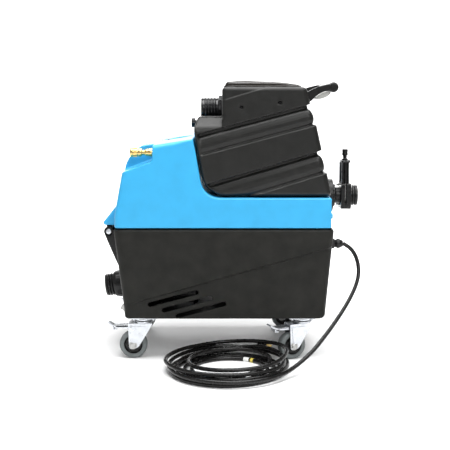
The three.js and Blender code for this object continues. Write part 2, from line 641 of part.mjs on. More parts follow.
/** The exhaust spigot stands square to the tub's drafted front wall. */
const exhaustFrame = new THREE.Group();
exhaustFrame.position.set(frontWall(EXHAUST.z) - GAP, 0, EXHAUST.z);
exhaustFrame.rotation.y = -Math.atan((TUB.frontBottom - TUB.frontTop) / (TUB.rim - TUB.floor));
machine.add(exhaustFrame);

function exhaustPort() {
  const centre = [0, 0, 0];
  const pipe = bar("x", -EXHAUST.reach, 0, centre, EXHAUST.radius - 2.5);
  const collar = bar("x", -EXHAUST.collarLength, 0, centre, EXHAUST.collarRadius);
  const threads = Array.from({ length: 2 }, (_, i) => {
    const x = -EXHAUST.reach + i * 9;
    return bar("x", x, x + 5, centre, EXHAUST.radius);
  });
  return cut(union(pipe, collar, ...threads), bar("x", -EXHAUST.reach - 5, 5, centre, EXHAUST.bore));
}

place("exhaust_port", exhaustPort(), PLASTIC_BLACK, exhaustFrame);

/* ------------------------------------------------- vacuum, pump and heater in the tub */

const VACUUM = { x: 70, y: 35, floor: 103, caseTop: 150, caseRadius: 75, motorRadius: 46, top: 238 };

function vacuumFanCase() {
  const centre = [VACUUM.x, VACUUM.y, 0];
  const drum = bar("z", VACUUM.floor, VACUUM.caseTop, centre, VACUUM.caseRadius, VACUUM.caseRadius, 20);
  const horn = box(VACUUM.x - 110, VACUUM.x - 40, VACUUM.y - 22, VACUUM.y + 22, 110, 145);
  const hollow = bar("z", VACUUM.floor + 4, VACUUM.caseTop - 4, centre, VACUUM.caseRadius - 4,
    VACUUM.caseRadius - 4, 20);
  const eye = bar("z", VACUUM.caseTop - 10, VACUUM.caseTop + 5, centre, 12);
  const hornBore = box(VACUUM.x - 115, VACUUM.x - 30, VACUUM.y - 18, VACUUM.y + 18, 114, 141);
  return cut(union(drum, horn), hollow, hornBore, eye);
}

function vacuumMotorFrame() {
  const centre = [VACUUM.x, VACUUM.y, 0];
  const foot = VACUUM.caseTop + GAP;
  const can = bar("z", foot, VACUUM.top, centre, VACUUM.motorRadius);
  const hollow = bar("z", foot - 1, VACUUM.top - 8, centre, VACUUM.motorRadius - 6);
  const eye = bar("z", VACUUM.top - 10, VACUUM.top + 1, centre, 12);
  const ports = [
    box(VACUUM.x - 60, VACUUM.x + 60, VACUUM.y - 14, VACUUM.y + 14, 205, 222),
    box(VACUUM.x - 14, VACUUM.x + 14, VACUUM.y - 60, VACUUM.y + 60, 205, 222),
  ];
  return cut(can, hollow, eye, ...ports);
}

function vacuumArmature() {
  const centre = [VACUUM.x, VACUUM.y, 0];
  const shaft = bar("z", VACUUM.floor + 8, VACUUM.top + 4, centre, 5);
  const core = bar("z", 160, 200, centre, 30);
  const commutator = bar("z", 204, 222, centre, 14);
  const fan = bar("z", 116, 130, centre, 62);
  return union(shaft, core, commutator, fan);
}

const PUMP = { x: -165, y: -70, z: 145 };

function pumpMotor() {
  const centre = [0, PUMP.y, PUMP.z];
  return union(
    bar("x", PUMP.x, PUMP.x + 92, centre, 32),
    box(PUMP.x + 10, PUMP.x + 80, PUMP.y - 28, PUMP.y + 28, 103, PUMP.z - 20));
}

function pumpHead() {
  const head = box(PUMP.x - 44, PUMP.x - GAP, PUMP.y - 30, PUMP.y + 30, PUMP.z - 28, PUMP.z + 28);
  const ports = [-16, 16].map((y) => (
    bar("z", PUMP.z + 26, PUMP.z + 48, [PUMP.x - 22, PUMP.y + y, 0], 7, 7, 14)));
  return union(head, ...ports);
}

function inlineHeater() {
  const centre = [0, 115, 150];
  const drum = bar("x", -190, -60, centre, 26);
  const ends = [-197, -62].map((x) => bar("x", x, x + 9, centre, 30, 30, 8));
  const saddles = [-170, -100].map((x) => box(x, x + 14, 95, 135, 103, 140));
  return union(drum, ...ends, ...saddles);
}

place("vacuum_fan_case", vacuumFanCase(), ALUMINIUM);
place("vacuum_motor_frame", vacuumMotorFrame(), ALUMINIUM);
place("vacuum_armature", vacuumArmature(), COPPER);
place("pump_motor", pumpMotor(), TUB_BLACK);
place("pump_head", pumpHead(), PLASTIC_BLACK);
place("inline_heater", inlineHeater(), ALUMINIUM);

/* ----------------------------------------------------------------------------- casters */

/** The fixed top plate, with its race and the kingpin that holds the fork. */
function casterPlate() {
  const plate = box(-30, 30, -24, 24, CASTER.plateTop - 3, CASTER.plateTop);
  const race = bar("z", 88.6, CASTER.plateTop - 2, [0, 0, 0], 22, 25);
  const kingpin = bar("z", 76, 90, [0, 0, 0], CASTER.kingpinRadius, CASTER.kingpinRadius, 12);
  const nut = bar("z", 75, 79, [0, 0, 0], 7, 7, 6);
  return union(plate, race, kingpin, nut);
}

/** The swivelling fork: a dished crown, two cheeks that taper to the axle. */
function casterFork() {
  const crown = bar("z", 80, 88, [0, 0, 0], 18, 24);
  const bridge = box(-34, 8, -CASTER.cheekOffset - 1, CASTER.cheekOffset + 1, 80, 83);
  const cheek = outline([
    [-36, 83], [20, 83], [12, 68, 6], [-CASTER.trail + 10, 24, 9], [-CASTER.trail - 9, 22, 9],
  ]);
  const cheeks = [-1, 1].map((side) => {
    const y = side * CASTER.cheekOffset - CASTER.cheekThickness / 2;
    return across(cheek, y, y + CASTER.cheekThickness, 3);
  });
  const kingpinBore = bar("z", 70, 100, [0, 0, 0], CASTER.kingpinRadius + 0.5, CASTER.kingpinRadius + 0.5, 12);
  const axleBore = bar("y", -30, 30, [-CASTER.trail, 0, CASTER.wheelRadius], CASTER.axleRadius + GAP,
    CASTER.axleRadius + GAP, 12);
  const pedalBore = bar("y", -30, 30, [-30, 0, 75], 2.5 + 2 * GAP, 2.5 + 2 * GAP, 8);
  return cut(union(crown, bridge, ...cheeks), kingpinBore, axleBore, pedalBore);
}

/** A ring turned about the axle from [radius, side offset] points. */
function wheelRing(profile, segments) {
  const points = [...profile, profile[0]].map(([radius, side]) => new THREE.Vector2(radius, side));
  const matrix = new THREE.Matrix4().makeTranslation(-CASTER.trail, 0, CASTER.wheelRadius);
  return solid(new THREE.LatheGeometry(points, segments), matrix);
}

function casterHub() {
  const bore = CASTER.axleRadius + GAP;
  return wheelRing([
    [bore, -12.5], [8, -12.5], [9, -7], [CASTER.hubRadius, -7],
    [CASTER.hubRadius, 7], [9, 7], [8, 12.5], [bore, 12.5],
  ], ROUND);
}

function casterTyre() {
  const { wheelRadius: outer, wheelHalfWidth: half, hubRadius } = CASTER;
  return wheelRing([
    [hubRadius + GAP, -half], [outer - 2, -half], [outer, -half + 5], [outer, half - 5],
    [outer - 2, half], [hubRadius + GAP, half],
  ], 24);
}

function casterAxle() {
  const centre = [-CASTER.trail, 0, CASTER.wheelRadius];
  return union(
    bar("y", -18.5, 18.5, centre, CASTER.axleRadius - 0.1, CASTER.axleRadius - 0.1, 12),
    bar("y", -20, -16.2, centre, 7, 7, 6),
    bar("y", 16.2, 20, centre, 7, 7, 6));
}

/** The brake pedal: a bent strip on its own small pin through the fork's cheeks. */
function casterPedal() {
  const strip = across(outline([
    [-27, 73], [-27, 77], [-70, 77, 3], [-81, 83.5], [-83, 81], [-71, 72.5, 3], [-44, 70, 4],
  ]), -11, 11, 3);
  const pin = bar("y", -17, 17, [-30, 0, 75], 2.5, 2.5, 8);
  return union(strip, pin);
}

CASTER_PLACES.forEach(({ name, x, y, swivel }) => {
  const stand = new THREE.Group();
  stand.position.set(x, y, 0);
  machine.add(stand);
  const turn = new THREE.Group();
  turn.rotation.z = swivel * DEGREE;
  stand.add(turn);
  place(`caster_${name}_plate`, casterPlate(), ZINC, stand);
  place(`caster_${name}_fork`, casterFork(), ZINC, turn);
  place(`caster_${name}_hub`, casterHub(), PLASTIC_BLACK, turn);
  place(`caster_${name}_tyre`, casterTyre(), TYRE_GREY, turn);
  place(`caster_${name}_axle`, casterAxle(), ZINC, turn);
  place(`caster_${name}_pedal`, casterPedal(), ZINC, turn);
});

/* ------------------------------------------------------------------- mains cord */

function rearWall(z) {
  const draft = (TUB.rearTop - TUB.rearBottom) / (TUB.rim - 6 - TUB.floor);
  return TUB.rearBottom + draft * (z - TUB.floor);
}

/** The strain-relief gland, screwed to the tub's rear wall. */
function cordGland() {
  const centre = [0, CORD.exitY, CORD.exitZ];
  const foot = rearWall(CORD.exitZ + 16) + GAP;
  return union(
    bar("x", foot, foot + 6, centre, 12, 12, 6),
    bar("x", foot + 5, 243, centre, 9),
    bar("x", 240, CORD.exitX - GAP, centre, 10.5, 8));
}

function coilRing(grow) {
  const { inner, outer, height } = COIL;
  const low = GAP - grow;
  const high = height + grow;
  const round = 8;
  return turned([
    [inner - grow, low], [outer - round, low], [outer + grow, low + round],
    [outer + grow, high - round], [outer - round, high], [inner + round, high], [inner - grow, high - round],
  ], COIL.x, COIL.y, 28);
}

/** The stretch of cord from the gland to the coil, cut off where it enters the coil. */
function leadTube() {
  const route = new THREE.CatmullRomCurve3(LEAD_ROUTE.map((point) => new THREE.Vector3(...point)));
  const section = new THREE.Shape();
  section.absarc(0, 0, CORD.radius, 0, 2 * Math.PI, false);
  const geometry = new THREE.ExtrudeGeometry(section, { steps: 34, curveSegments: 4, extrudePath: route });
  return cut(solid(geometry), coilRing(GAP));
}

/** A moulded three-pin plug, lying on the floor with its tail at the coil's back. */
function powerPlug() {
  const tail = [34, -103.5, 13];
  const length = 62;
  const profile = [[0, 0], [5, 0], [7, 24], [12, 30], [12, 48], [11, 50], [0, 50]];
  const points = profile.map(([radius, distance]) => new THREE.Vector2(radius, distance));
  const body = solid(new THREE.LatheGeometry(points, 20));
  const pins = [[-6, 5], [6, 5], [0, -5]].map(([x, z]) => (
    solid(new THREE.BoxGeometry(2, 15, 5), new THREE.Matrix4().makeTranslation(x, length - 7, z))));
  const turn = new THREE.Matrix4().makeRotationZ(-80 * DEGREE);
  turn.premultiply(new THREE.Matrix4().makeTranslation(...tail));
  return cut(solid(geometryOf(union(body, ...pins)), turn), coilRing(GAP));
}

place("cord_gland", cordGland(), PLASTIC_BLACK);
place("power_cord_lead", leadTube(), CORD_BLACK);
place("power_cord_coil", coilRing(0), CORD_BLACK);
place("power_plug", powerPlug(), CORD_BLACK);

export default machine;
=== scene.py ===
"""The visual model of a carpet spot extractor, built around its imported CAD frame.

Sizes and places are millimetres in the CAD's frame: +X towards the dump valve, the near
side at -Y, +Z up. Every mesh is scaled to metres when it is made. The large mouldings
come from distance functions meshed by a surface net, so their ribs, creases and rounded
edges are real geometry. The smaller parts are turned, threaded and extruded solids.
"""

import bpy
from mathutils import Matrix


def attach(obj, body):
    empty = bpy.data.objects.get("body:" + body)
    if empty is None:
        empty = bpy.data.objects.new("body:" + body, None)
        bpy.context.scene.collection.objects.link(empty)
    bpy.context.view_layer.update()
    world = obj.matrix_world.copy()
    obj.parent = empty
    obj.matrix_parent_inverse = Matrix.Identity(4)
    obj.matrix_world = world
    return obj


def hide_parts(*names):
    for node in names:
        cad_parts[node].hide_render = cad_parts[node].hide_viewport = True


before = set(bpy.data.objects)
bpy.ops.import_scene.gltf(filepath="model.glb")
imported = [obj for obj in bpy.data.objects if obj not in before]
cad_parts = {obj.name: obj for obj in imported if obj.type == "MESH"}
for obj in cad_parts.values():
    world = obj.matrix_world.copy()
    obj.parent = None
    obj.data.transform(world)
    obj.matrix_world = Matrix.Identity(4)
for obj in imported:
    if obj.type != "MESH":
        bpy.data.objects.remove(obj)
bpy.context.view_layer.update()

import itertools
import math
from collections import namedtuple

import bmesh
import bpy
import numpy as np
from mathutils import Matrix, Vector

MM = 0.001
DEGREE = math.pi / 180

# ---- camera

CAMERA_PLACE = (-12.25, -2200, 600)
CAMERA_TILT = 81.9
CAMERA_LENS = 74.465


def make_camera():
    data = bpy.data.cameras.new("camera")
    data.lens = CAMERA_LENS
    data.sensor_width = 36
    camera = bpy.data.objects.new("camera", data)
    camera.location = Vector(CAMERA_PLACE) * MM
    camera.rotation_euler = (CAMERA_TILT * DEGREE, 0, 0)
    bpy.context.scene.collection.objects.link(camera)
    bpy.context.scene.camera = camera


make_camera()

# ---- materials

Finish = namedtuple("Finish", "slot material")


def surface(name, color, roughness, metallic=0.0, mottle=0.12, mottle_scale=30, grain=0.08,
            grain_scale=900, rough_spread=0.08, coat=0.0, specular=0.5, streak=(1, 1, 1), slot=""):
    """A procedural finish: uneven colour, a fine moulded grain and patchy roughness.

    Its slot is the finish's own name, unless another is given.
    """
    material = bpy.data.materials.new(name)
    material.use_nodes = True
    nodes, links = material.node_tree.nodes, material.node_tree.links
    shader = nodes["Principled BSDF"]
    shader.inputs["Metallic"].default_value = metallic
    shader.inputs["Coat Weight"].default_value = coat
    shader.inputs["Specular IOR Level"].default_value = specular
    shader.inputs["Coat Roughness"].default_value = 0.12
    place = nodes.new("ShaderNodeTexCoord")
    stretch = nodes.new("ShaderNodeMapping")
    stretch.inputs["Scale"].default_value = streak
    links.new(place.outputs["Object"], stretch.inputs["Vector"])

    def noise(scale, detail):
        node = nodes.new("ShaderNodeTexNoise")
        node.inputs["Scale"].default_value = scale
        node.inputs["Detail"].default_value = detail
        links.new(stretch.outputs["Vector"], node.inputs["Vector"])
        return node

    patches = noise(mottle_scale, 4)
    ramp = nodes.new("ShaderNodeValToRGB")
    ramp.color_ramp.elements[0].position = 0.3
    ramp.color_ramp.elements[1].position = 0.7
    ramp.color_ramp.elements[0].color = [c * (1 - mottle) for c in color] + [1]
    ramp.color_ramp.elements[1].color = [min(1, c * (1 + mottle)) for c in color] + [1]
    links.new(patches.outputs["Fac"], ramp.inputs["Fac"])
    links.new(ramp.outputs["Color"], shader.inputs["Base Color"])
    wear = noise(mottle_scale * 2.7, 6)
    spread = nodes.new("ShaderNodeMapRange")
    spread.inputs["From Min"].default_value = 0.25
    spread.inputs["From Max"].default_value = 0.75
    spread.inputs["To Min"].default_value = max(0.04, roughness - rough_spread)
    spread.inputs["To Max"].default_value = min(1.0, roughness + rough_spread)
    links.new(wear.outputs["Fac"], spread.inputs["Value"])
    links.new(spread.outputs["Result"], shader.inputs["Roughness"])
    fine = noise(grain_scale, 3)
    bump = nodes.new("ShaderNodeBump")
    bump.inputs["Strength"].default_value = grain
    bump.inputs["Distance"].default_value = 0.4 * MM
    links.new(fine.outputs["Fac"], bump.inputs["Height"])
    links.new(bump.outputs["Normal"], shader.inputs["Normal"])
    return Finish(slot or name, material)


BLUE = surface("blue_moulding", (0.036, 0.36, 0.66), 0.38, mottle=0.05, grain=0.06, grain_scale=450,
               specular=0.35, coat=0.08)
TUB = surface("tub_moulding", (0.0125, 0.0125, 0.0108), 0.5, mottle=0.25, grain=0.22, grain_scale=1300,
              specular=0.17)
TANK = surface("tank_moulding", (0.0092, 0.0092, 0.0084), 0.36, mottle=0.2, grain=0.1, grain_scale=700,
               specular=0.32)
BLACK = surface("black_plastic", (0.005, 0.005, 0.005), 0.32, grain=0.1, specular=0.32)
GLOSS = surface("gloss_black", (0.005, 0.005, 0.006), 0.18, grain=0.03, slot="black_plastic")
GRIP = surface("grip_grey", (0.42, 0.42, 0.40), 0.7, grain=0.35, grain_scale=1600)
RED = surface("rocker_red", (0.35, 0.02, 0.015), 0.25, grain=0.03)
WHITE = surface("label_white", (0.78, 0.78, 0.76), 0.5, mottle=0.04)
YELLOW = surface("label_yellow", (0.62, 0.50, 0.08), 0.5, mottle=0.06)
ZINC = surface("bright_zinc", (0.60, 0.62, 0.65), 0.3, metallic=1.0, mottle=0.08, mottle_scale=70,
               grain=0.05, rough_spread=0.06)
STEEL = surface("dull_steel", (0.42, 0.42, 0.41), 0.38, metallic=1.0, mottle=0.15, mottle_scale=90,
                streak=(1, 1, 0.1), slot="bright_zinc")
BRASS = surface("brass", (0.72, 0.52, 0.20), 0.22, metallic=1.0, mottle=0.12, mottle_scale=200,
                grain=0.06)
TYRE = surface("tyre_grey", (0.15, 0.165, 0.165), 0.7, mottle=0.14, mottle_scale=80, grain=0.3,
               grain_scale=1500, specular=0.3)
CORD = surface("cord_rubber", (0.0040, 0.0036, 0.0034), 0.26, grain=0.03, grain_scale=900, mottle=0.2,
               specular=0.35)
ALUMINIUM = surface("cast_aluminium", (0.45, 0.46, 0.47), 0.45, metallic=1.0, grain=0.3, grain_scale=800)
COPPER = surface("copper_winding", (0.55, 0.24, 0.10), 0.35, metallic=1.0, grain=0.4, streak=(1, 1, 8))
FLOAT_WHITE = surface("float_white", (0.70, 0.70, 0.67), 0.35)


def smoked_plastic():
    finish = surface("smoked_lid", (0.030, 0.024, 0.019), 0.16, mottle=0.2, grain=0.02, rough_spread=0.04)
    shader = finish.material.node_tree.nodes["Principled BSDF"]
    shader.inputs["Transmission Weight"].default_value = 0.45
    shader.inputs["IOR"].default_value = 1.49
    return finish


SMOKE = smoked_plastic()

# ---- outlines and solids


def outline(corners, steps=6):
    """Points round a closed outline of (u, v) or (u, v, radius) corners."""
    points = []
    for i, corner in enumerate(corners):
        here = np.array(corner[:2], float)
        to_last = np.array(corners[i - 1][:2], float) - here
        to_next = np.array(corners[(i + 1) % len(corners)][:2], float) - here
        reach_last, reach_next = np.linalg.norm(to_last), np.linalg.norm(to_next)
        wanted = corner[2] if len(corner) > 2 else 0
        radius = min(wanted, 0.48 * reach_last, 0.48 * reach_next)
        if radius <= 0:
            points.append(here)
            continue
        enter = here + to_last * radius / reach_last
        leave = here + to_next * radius / reach_next
        for t in np.linspace(0, 1, steps + 1):
            points.append((1 - t) ** 2 * enter + 2 * t * (1 - t) * here + t * t * leave)
    return np.array(points)


def rectangle(u0, u1, v0, v1, radius=0):
    return [(u0, v0, radius), (u1, v0, radius), (u1, v1, radius), (u0, v1, radius)]


def round_places(count, radius, first=0.0):
    """Points spaced evenly round a circle, the first one at an angle in radians."""
    angles = [first + 2 * math.pi * k / count for k in range(count)]
    return [(radius * math.cos(a), radius * math.sin(a)) for a in angles]


AXES = {"x": (0, 1, 2), "y": (1, 2, 0), "z": (2, 0, 1)}


def arrange(axis, length, across, up):
    """One point from its place along an axis and on the two axes across it."""
    point = [0.0, 0.0, 0.0]
    for index, value in zip(AXES[axis], (length, across, up)):
        point[index] = value
    return point


def skinned(axis, rings, centre):
    """A closed solid over rings of (place along the axis, radii). A ring of one radius is a point."""
    segments = max(len(radii) for _, radii in rings)
    vertices, spans, faces = [], [], []
    for length, radii in rings:
        spans.append((len(vertices), len(radii)))
        for k, radius in enumerate(radii):
            angle = 2 * math.pi * k / segments
            vertices.append(arrange(axis, length, radius * math.cos(angle), radius * math.sin(angle)))
    for (start, count), (next_start, next_count) in zip(spans, spans[1:] + spans[:1]):
        if count == 1 and next_count == 1:
            continue
        for k in range(segments):
            a, b = start + k % count, start + (k + 1) % count
            c, d = next_start + (k + 1) % next_count, next_start + k % next_count
            faces.append(list(dict.fromkeys((a, b, c, d))))
    return np.array(vertices) + np.array(centre), faces


def turned(axis, corners, centre=(0, 0, 0), segments=64, steps=4):
    """A solid of revolution from closed (along, radius, fillet) corners."""
    profile = outline(corners, steps)
    rings = [(length, [radius] * (segments if radius > 1e-6 else 1)) for length, radius in profile]
    return skinned(axis, rings, centre)


def rod(axis, start, end, radius, centre=(0, 0, 0), fillet=0, segments=64):
    """A round bar with its end edges rounded."""
    corners = [(start, 0), (start, radius, fillet), (end, radius, fillet), (end, 0)]
    return turned(axis, corners, centre, segments)


def collar(axis, start, end, inner, outer, fillet=0, centre=(0, 0, 0)):
    """A bored ring with its outer edges rounded."""
    corners = [(start, inner), (start, outer, fillet), (end, outer, fillet), (end, inner)]
    return turned(axis, corners, centre)


def threaded(axis, start, end, radius, bore, depth, pitch, centre=(0, 0, 0), segments=72):
    """A pipe end with a round-topped helical thread outside and a plain bore."""
    rows = max(8, int(abs(end - start) / pitch * 10))
    rings = []
    for i in range(rows + 1):
        length = start + (end - start) * i / rows
        fade = min(1, 4 * min(i, rows - i) / rows)
        phases = [2 * math.pi * (length / pitch - k / segments) for k in range(segments)]
        crests = [(0.5 - 0.5 * math.cos(phase)) ** 0.7 for phase in phases]
        rings.append((length, [radius - depth * (1 - fade * crest) for crest in crests]))
    rings += [(end, [bore] * segments), (start, [bore] * segments)]
    return skinned(axis, rings, centre)


def slab(axis, corners, low, high, steps=5):
    """An outline drawn across an axis and extruded along it from low to high.

    Corners are (y, z) along x, (x, z) along y, and (x, y) along z.
    """
    points = outline(corners, steps)
    count = len(points)
    vertices = []
    for length in (low, high):
        for u, v in points:
            vertices.append({"x": (length, u, v), "y": (u, length, v), "z": (u, v, length)}[axis])
    faces = [list(range(count)), list(range(2 * count - 1, count - 1, -1))]
    for k in range(count):
        after = (k + 1) % count
        faces.append([k, count + k, count + after, after])
    return np.array(vertices, float), faces


def block(x0, x1, y0, y1, z0, z1):
    return slab("z", rectangle(x0, x1, y0, y1), z0, z1)


def moved(solid, matrix):
    vertices, faces = solid
    table = np.array(matrix)
    return vertices @ table[:3, :3].T + table[:3, 3], faces


def placed(solids, matrix):
    return [moved(solid, matrix) for solid in solids]


def spun(solid, count, axis, centre=(0, 0, 0)):
    """Copies of a solid, drawn about the origin, spaced evenly round an axis at a centre."""
    stand = Matrix.Translation(centre)
    return [moved(solid, stand @ Matrix.Rotation(2 * math.pi * k / count, 4, axis)) for k in range(count)]


def bolt(axis, start, height, centre, across_flats=8):
    """A hexagon head with a domed top on its washer, standing along an axis from start."""
    end, rim = start + height, across_flats / 2
    shape = turned(axis, [(start, 0), (start, rim * 1.12), (start + height * 0.7, rim * 1.12),
                          (end, rim * 0.86), (end, 0)], centre, segments=6)
    washer = turned(axis, [(start, 0), (start, rim * 1.5, 0.3), (start + 0.16 * height, rim * 1.5, 0.3),
                           (start + 0.16 * height, 0)], centre, segments=24)
    return [shape, washer]


def bolts(axis, start, height, centres, across_flats):
    return [solid for centre in centres for solid in bolt(axis, start, height, centre, across_flats)]


# ---- making pieces

SHARP_ANGLE = 35 * DEGREE


def dress(obj, body, finish, replaced=()):
    """Gives a piece its material and body, and hides the CAD nodes that it stands for."""
    obj.data.materials.append(finish.material)
    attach(obj, body)
    if replaced:
        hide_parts(*replaced)
    return obj


def piece(name, body, finish, solids, replaced=(), bevel=0.0, segments=2, slot=""):
    """One named object made of closed solids, each (vertices in mm, faces)."""
    mesh = bpy.data.meshes.new(name)
    build = bmesh.new()
    for vertices, faces in solids:
        made = [build.verts.new(Vector(v) * MM) for v in vertices]
        for face in faces:
            build.faces.new([made[i] for i in face])
    bmesh.ops.recalc_face_normals(build, faces=build.faces)
    build.to_mesh(mesh)
    build.free()
    mesh.polygons.foreach_set("use_smooth", [True] * len(mesh.polygons))
    mesh.set_sharp_from_angle(angle=SHARP_ANGLE)
    obj = bpy.data.objects.new(name, mesh)
    bpy.context.scene.collection.objects.link(obj)
    if bevel:
        rounding = obj.modifiers.new("edges", "BEVEL")
        rounding.width = bevel * MM
        rounding.segments = segments
        rounding.limit_method = "ANGLE"
        rounding.angle_limit = SHARP_ANGLE
        rounding.harden_normals = True
    return dress(obj, body, finish, replaced)


# ---- mains cord

CORD_LENGTH, CORD_DIAMETER = 5.61, 0.009
CORD_EXIT = (254.4, -120, 262)
COIL_X, COIL_Y = -6, -238
LEAD = [
    CORD_EXIT, (262, -120, 261.4), (275, -122, 252), (286, -127, 231), (291, -134, 206), (289, -141, 189),
    (283, -149, 172), (266, -167, 143), (246, -186, 117), (219, -210, 86), (180, -240, 46), (153, -262, 28),
    (132, -281, 18)]
PLUG_TAIL, PLUG_HEADING = (34, -103.5, 13), 10
COIL_START = -27
# One row for each quarter turn or so: turns, radius, centre's shift in x and y, and height.
LOOPS = (
    (0.00, 127, 9, -5, 14), (0.18, 126, 2, -4, 14), (0.42, 125, -3, 0, 15), (0.65, 128, 2, 3, 21),
    (0.85, 124, 9, 1, 16), (1.00, 113, 12, -3, 14), (1.20, 106, 4, -5, 14), (1.42, 106, -6, 0, 14),
    (1.65, 102, 2, 2, 20), (1.78, 114, 6, 3, 29), (1.88, 113, 8, 1, 28), (2.00, 113, 10, -2, 23),
    (2.20, 112, -6, 2, 24), (2.42, 124, -12, 2, 26), (2.58, 117, -8, 4, 29), (2.70, 119, 4, 6, 34),
    (2.84, 119, 14, 4, 42), (2.94, 112, 14, 0, 42), (3.03, 108, 10, -4, 35), (3.20, 98, 2, -6, 32),
    (3.42, 88, 4, 0, 24), (3.60, 90, 6, 2, 24), (3.75, 94, 8, 2, 24), (3.90, 88, 6, 0, 23),
    (4.05, 76, 0, 0, 12), (4.20, 75, 0, 0, 4.8),
    (7.58, 127, 0, 0, 4.8), (7.64, 132, 0, 0, 4.8), (7.70, 138, 0, 0, 10))
WAVE, WAVE_START = 2.2, 0.7


def smooth_path(points, spacing, reach):
    """A path evened out to one spacing, with its corners rounded off over a reach."""
    points = np.array(points, float)
    for gap, window in ((reach / 6, 13), (spacing, 1)):
        along = np.concatenate([[0], np.cumsum(np.linalg.norm(np.diff(points, axis=0), axis=1))])
        places = np.linspace(0, along[-1], int(round(along[-1] / gap)) + 1)
        points = np.stack([np.interp(places, along, points[:, i]) for i in range(3)], axis=1)
        kernel = np.hanning(window + 2)[1:-1]
        edge = window // 2
        before, after = 2 * points[0] - points[edge:0:-1], 2 * points[-1] - points[-2:-edge - 2:-1]
        padded = np.concatenate([before, points, after]) if edge else points
        kernel /= kernel.sum()
        points = np.stack([np.convolve(padded[:, i], kernel, "valid") for i in range(3)], axis=1)
    return points


def coil_path():
    """The loose coil: four uneven turns on top, then a flat spiral outwards underneath."""
    keys = np.array(LOOPS, float)
    points = []
    for turns in np.arange(0, keys[-1, 0], 1 / 72):
        radius, shift_x, shift_y, height = (np.interp(turns, keys[:, 0], column) for column in keys.T[1:])
        angle = (COIL_START - 360 * turns) * DEGREE
        radius += WAVE * math.sin(2 * angle + WAVE_START)
        points.append((COIL_X + shift_x + radius * math.cos(angle),
                       COIL_Y + shift_y + radius * math.sin(angle), height))
    return points


def plug_frame():
    return Matrix.Translation(PLUG_TAIL) @ Matrix.Rotation(PLUG_HEADING * DEGREE, 4, "Z")


approach = [tuple(plug_frame() @ Vector((back, 0, 0))) for back in (-16, -6, 0)]
cord_points = smooth_path(LEAD + coil_path() + approach, 5, 36)
curve = bpy.data.curves.new("power_cord", "CURVE")
curve.dimensions = "3D"
spline = curve.splines.new("POLY")
spline.points.add(len(cord_points) - 1)
for target, point in zip(spline.points, cord_points):
    target.co = (*(point * MM), 1)
curve.bevel_depth = CORD_DIAMETER / 2
curve.bevel_resolution = 4
curve.use_fill_caps = True
curve.materials.append(CORD.material)
cord = bpy.data.objects.new("power_cord", curve)
bpy.context.scene.collection.objects.link(cord)
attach(cord, "base")
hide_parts("power_cord_lead", "power_cord_coil")

plug = [turned("x", [(-1, 4.5), (-1, 5.6, 1), (24, 7.2, 1), (24, 4.5)])]
plug += [collar("x", x, x + 3, 5, 6.4 + x * 0.06, 0.8) for x in range(2, 22, 5)]
plug.append(turned("x", [(22, 0), (22, 7, 2), (31, 11.5, 4), (38, 10.6, 6), (46, 12, 3), (50, 12, 1),
                         (50, 0)]))
plug += [collar("x", x, x + 1.6, 9, 11.7, 0.7) for x in (34, 37, 40, 43)]
plug = piece("plug_moulding", "base", CORD, placed(plug, plug_frame()), ["power_plug"], slot="plug_rubber")
blades = [block(49, 62, -7, -5, 2.5, 7.5), block(49, 62, 5, 7, 2.5, 7.5),
          turned("x", [(49, 0), (49, 2.3), (62, 2.3, 1.2), (62, 0)], (0, 0, -5), 24)]
blades = piece("plug_blades", "base", BRASS, placed(blades, plug_frame()), bevel=0.4)


def cord_tape(name, finish, place, width):
    """A band of tape wrapped round the cord's inner turn, a set distance along it."""
    ahead = Vector(cord_points[place + 1] - cord_points[place - 1]).normalized()
    turn = ahead.to_track_quat("X", "Z").to_matrix().to_4x4()
    band = collar("x", -width / 2, width / 2, 4.4, 4.75, 0.1)
    stand = Matrix.Translation(cord_points[place]) @ turn
    return piece(name, "base", finish, placed([band], stand), slot="cord_rubber")


# The tapes go on the lowest strand nearest to this place.
TAPE_X, TAPE_Y = COIL_X + 42, COIL_Y + 72.7
from_tape = np.linalg.norm(cord_points[:, :2] - (TAPE_X, TAPE_Y), axis=1) + 4 * cord_points[:, 2]
tape_place = int(np.argmin(from_tape))
tapes = [cord_tape("cord_tape_white", WHITE, tape_place, 13),
         cord_tape("cord_tape_yellow", YELLOW, tape_place + 3, 7)]

GLAND_AXIS, GLAND_BORE, GLAND_FOOT = (0, *CORD_EXIT[1:]), 4.6, 228.6
gland = [
    turned("x", [(GLAND_FOOT, GLAND_BORE), (GLAND_FOOT, 12.6, 0.6), (GLAND_FOOT + 6, 12.6, 1),
                 (GLAND_FOOT + 6, GLAND_BORE)], GLAND_AXIS, segments=6),
    threaded("x", 233, 241, 9.2, GLAND_BORE, 0.7, 2, GLAND_AXIS),
    turned("x", [(240, GLAND_BORE), (240, 10.4, 0.8), (246, 10.2, 0.5), (254.1, 7, 1), (254.1, GLAND_BORE)],
           GLAND_AXIS)]
ridge = slab("x", [(9.6, -0.8), (10.9, -0.5), (10.9, 0.5), (9.6, 0.8)], 240.4, 246)
piece("gland_nut", "base", BLACK, [*gland, *spun(ridge, 12, "X", GLAND_AXIS)], ["cord_gland"])

# ---- distance functions


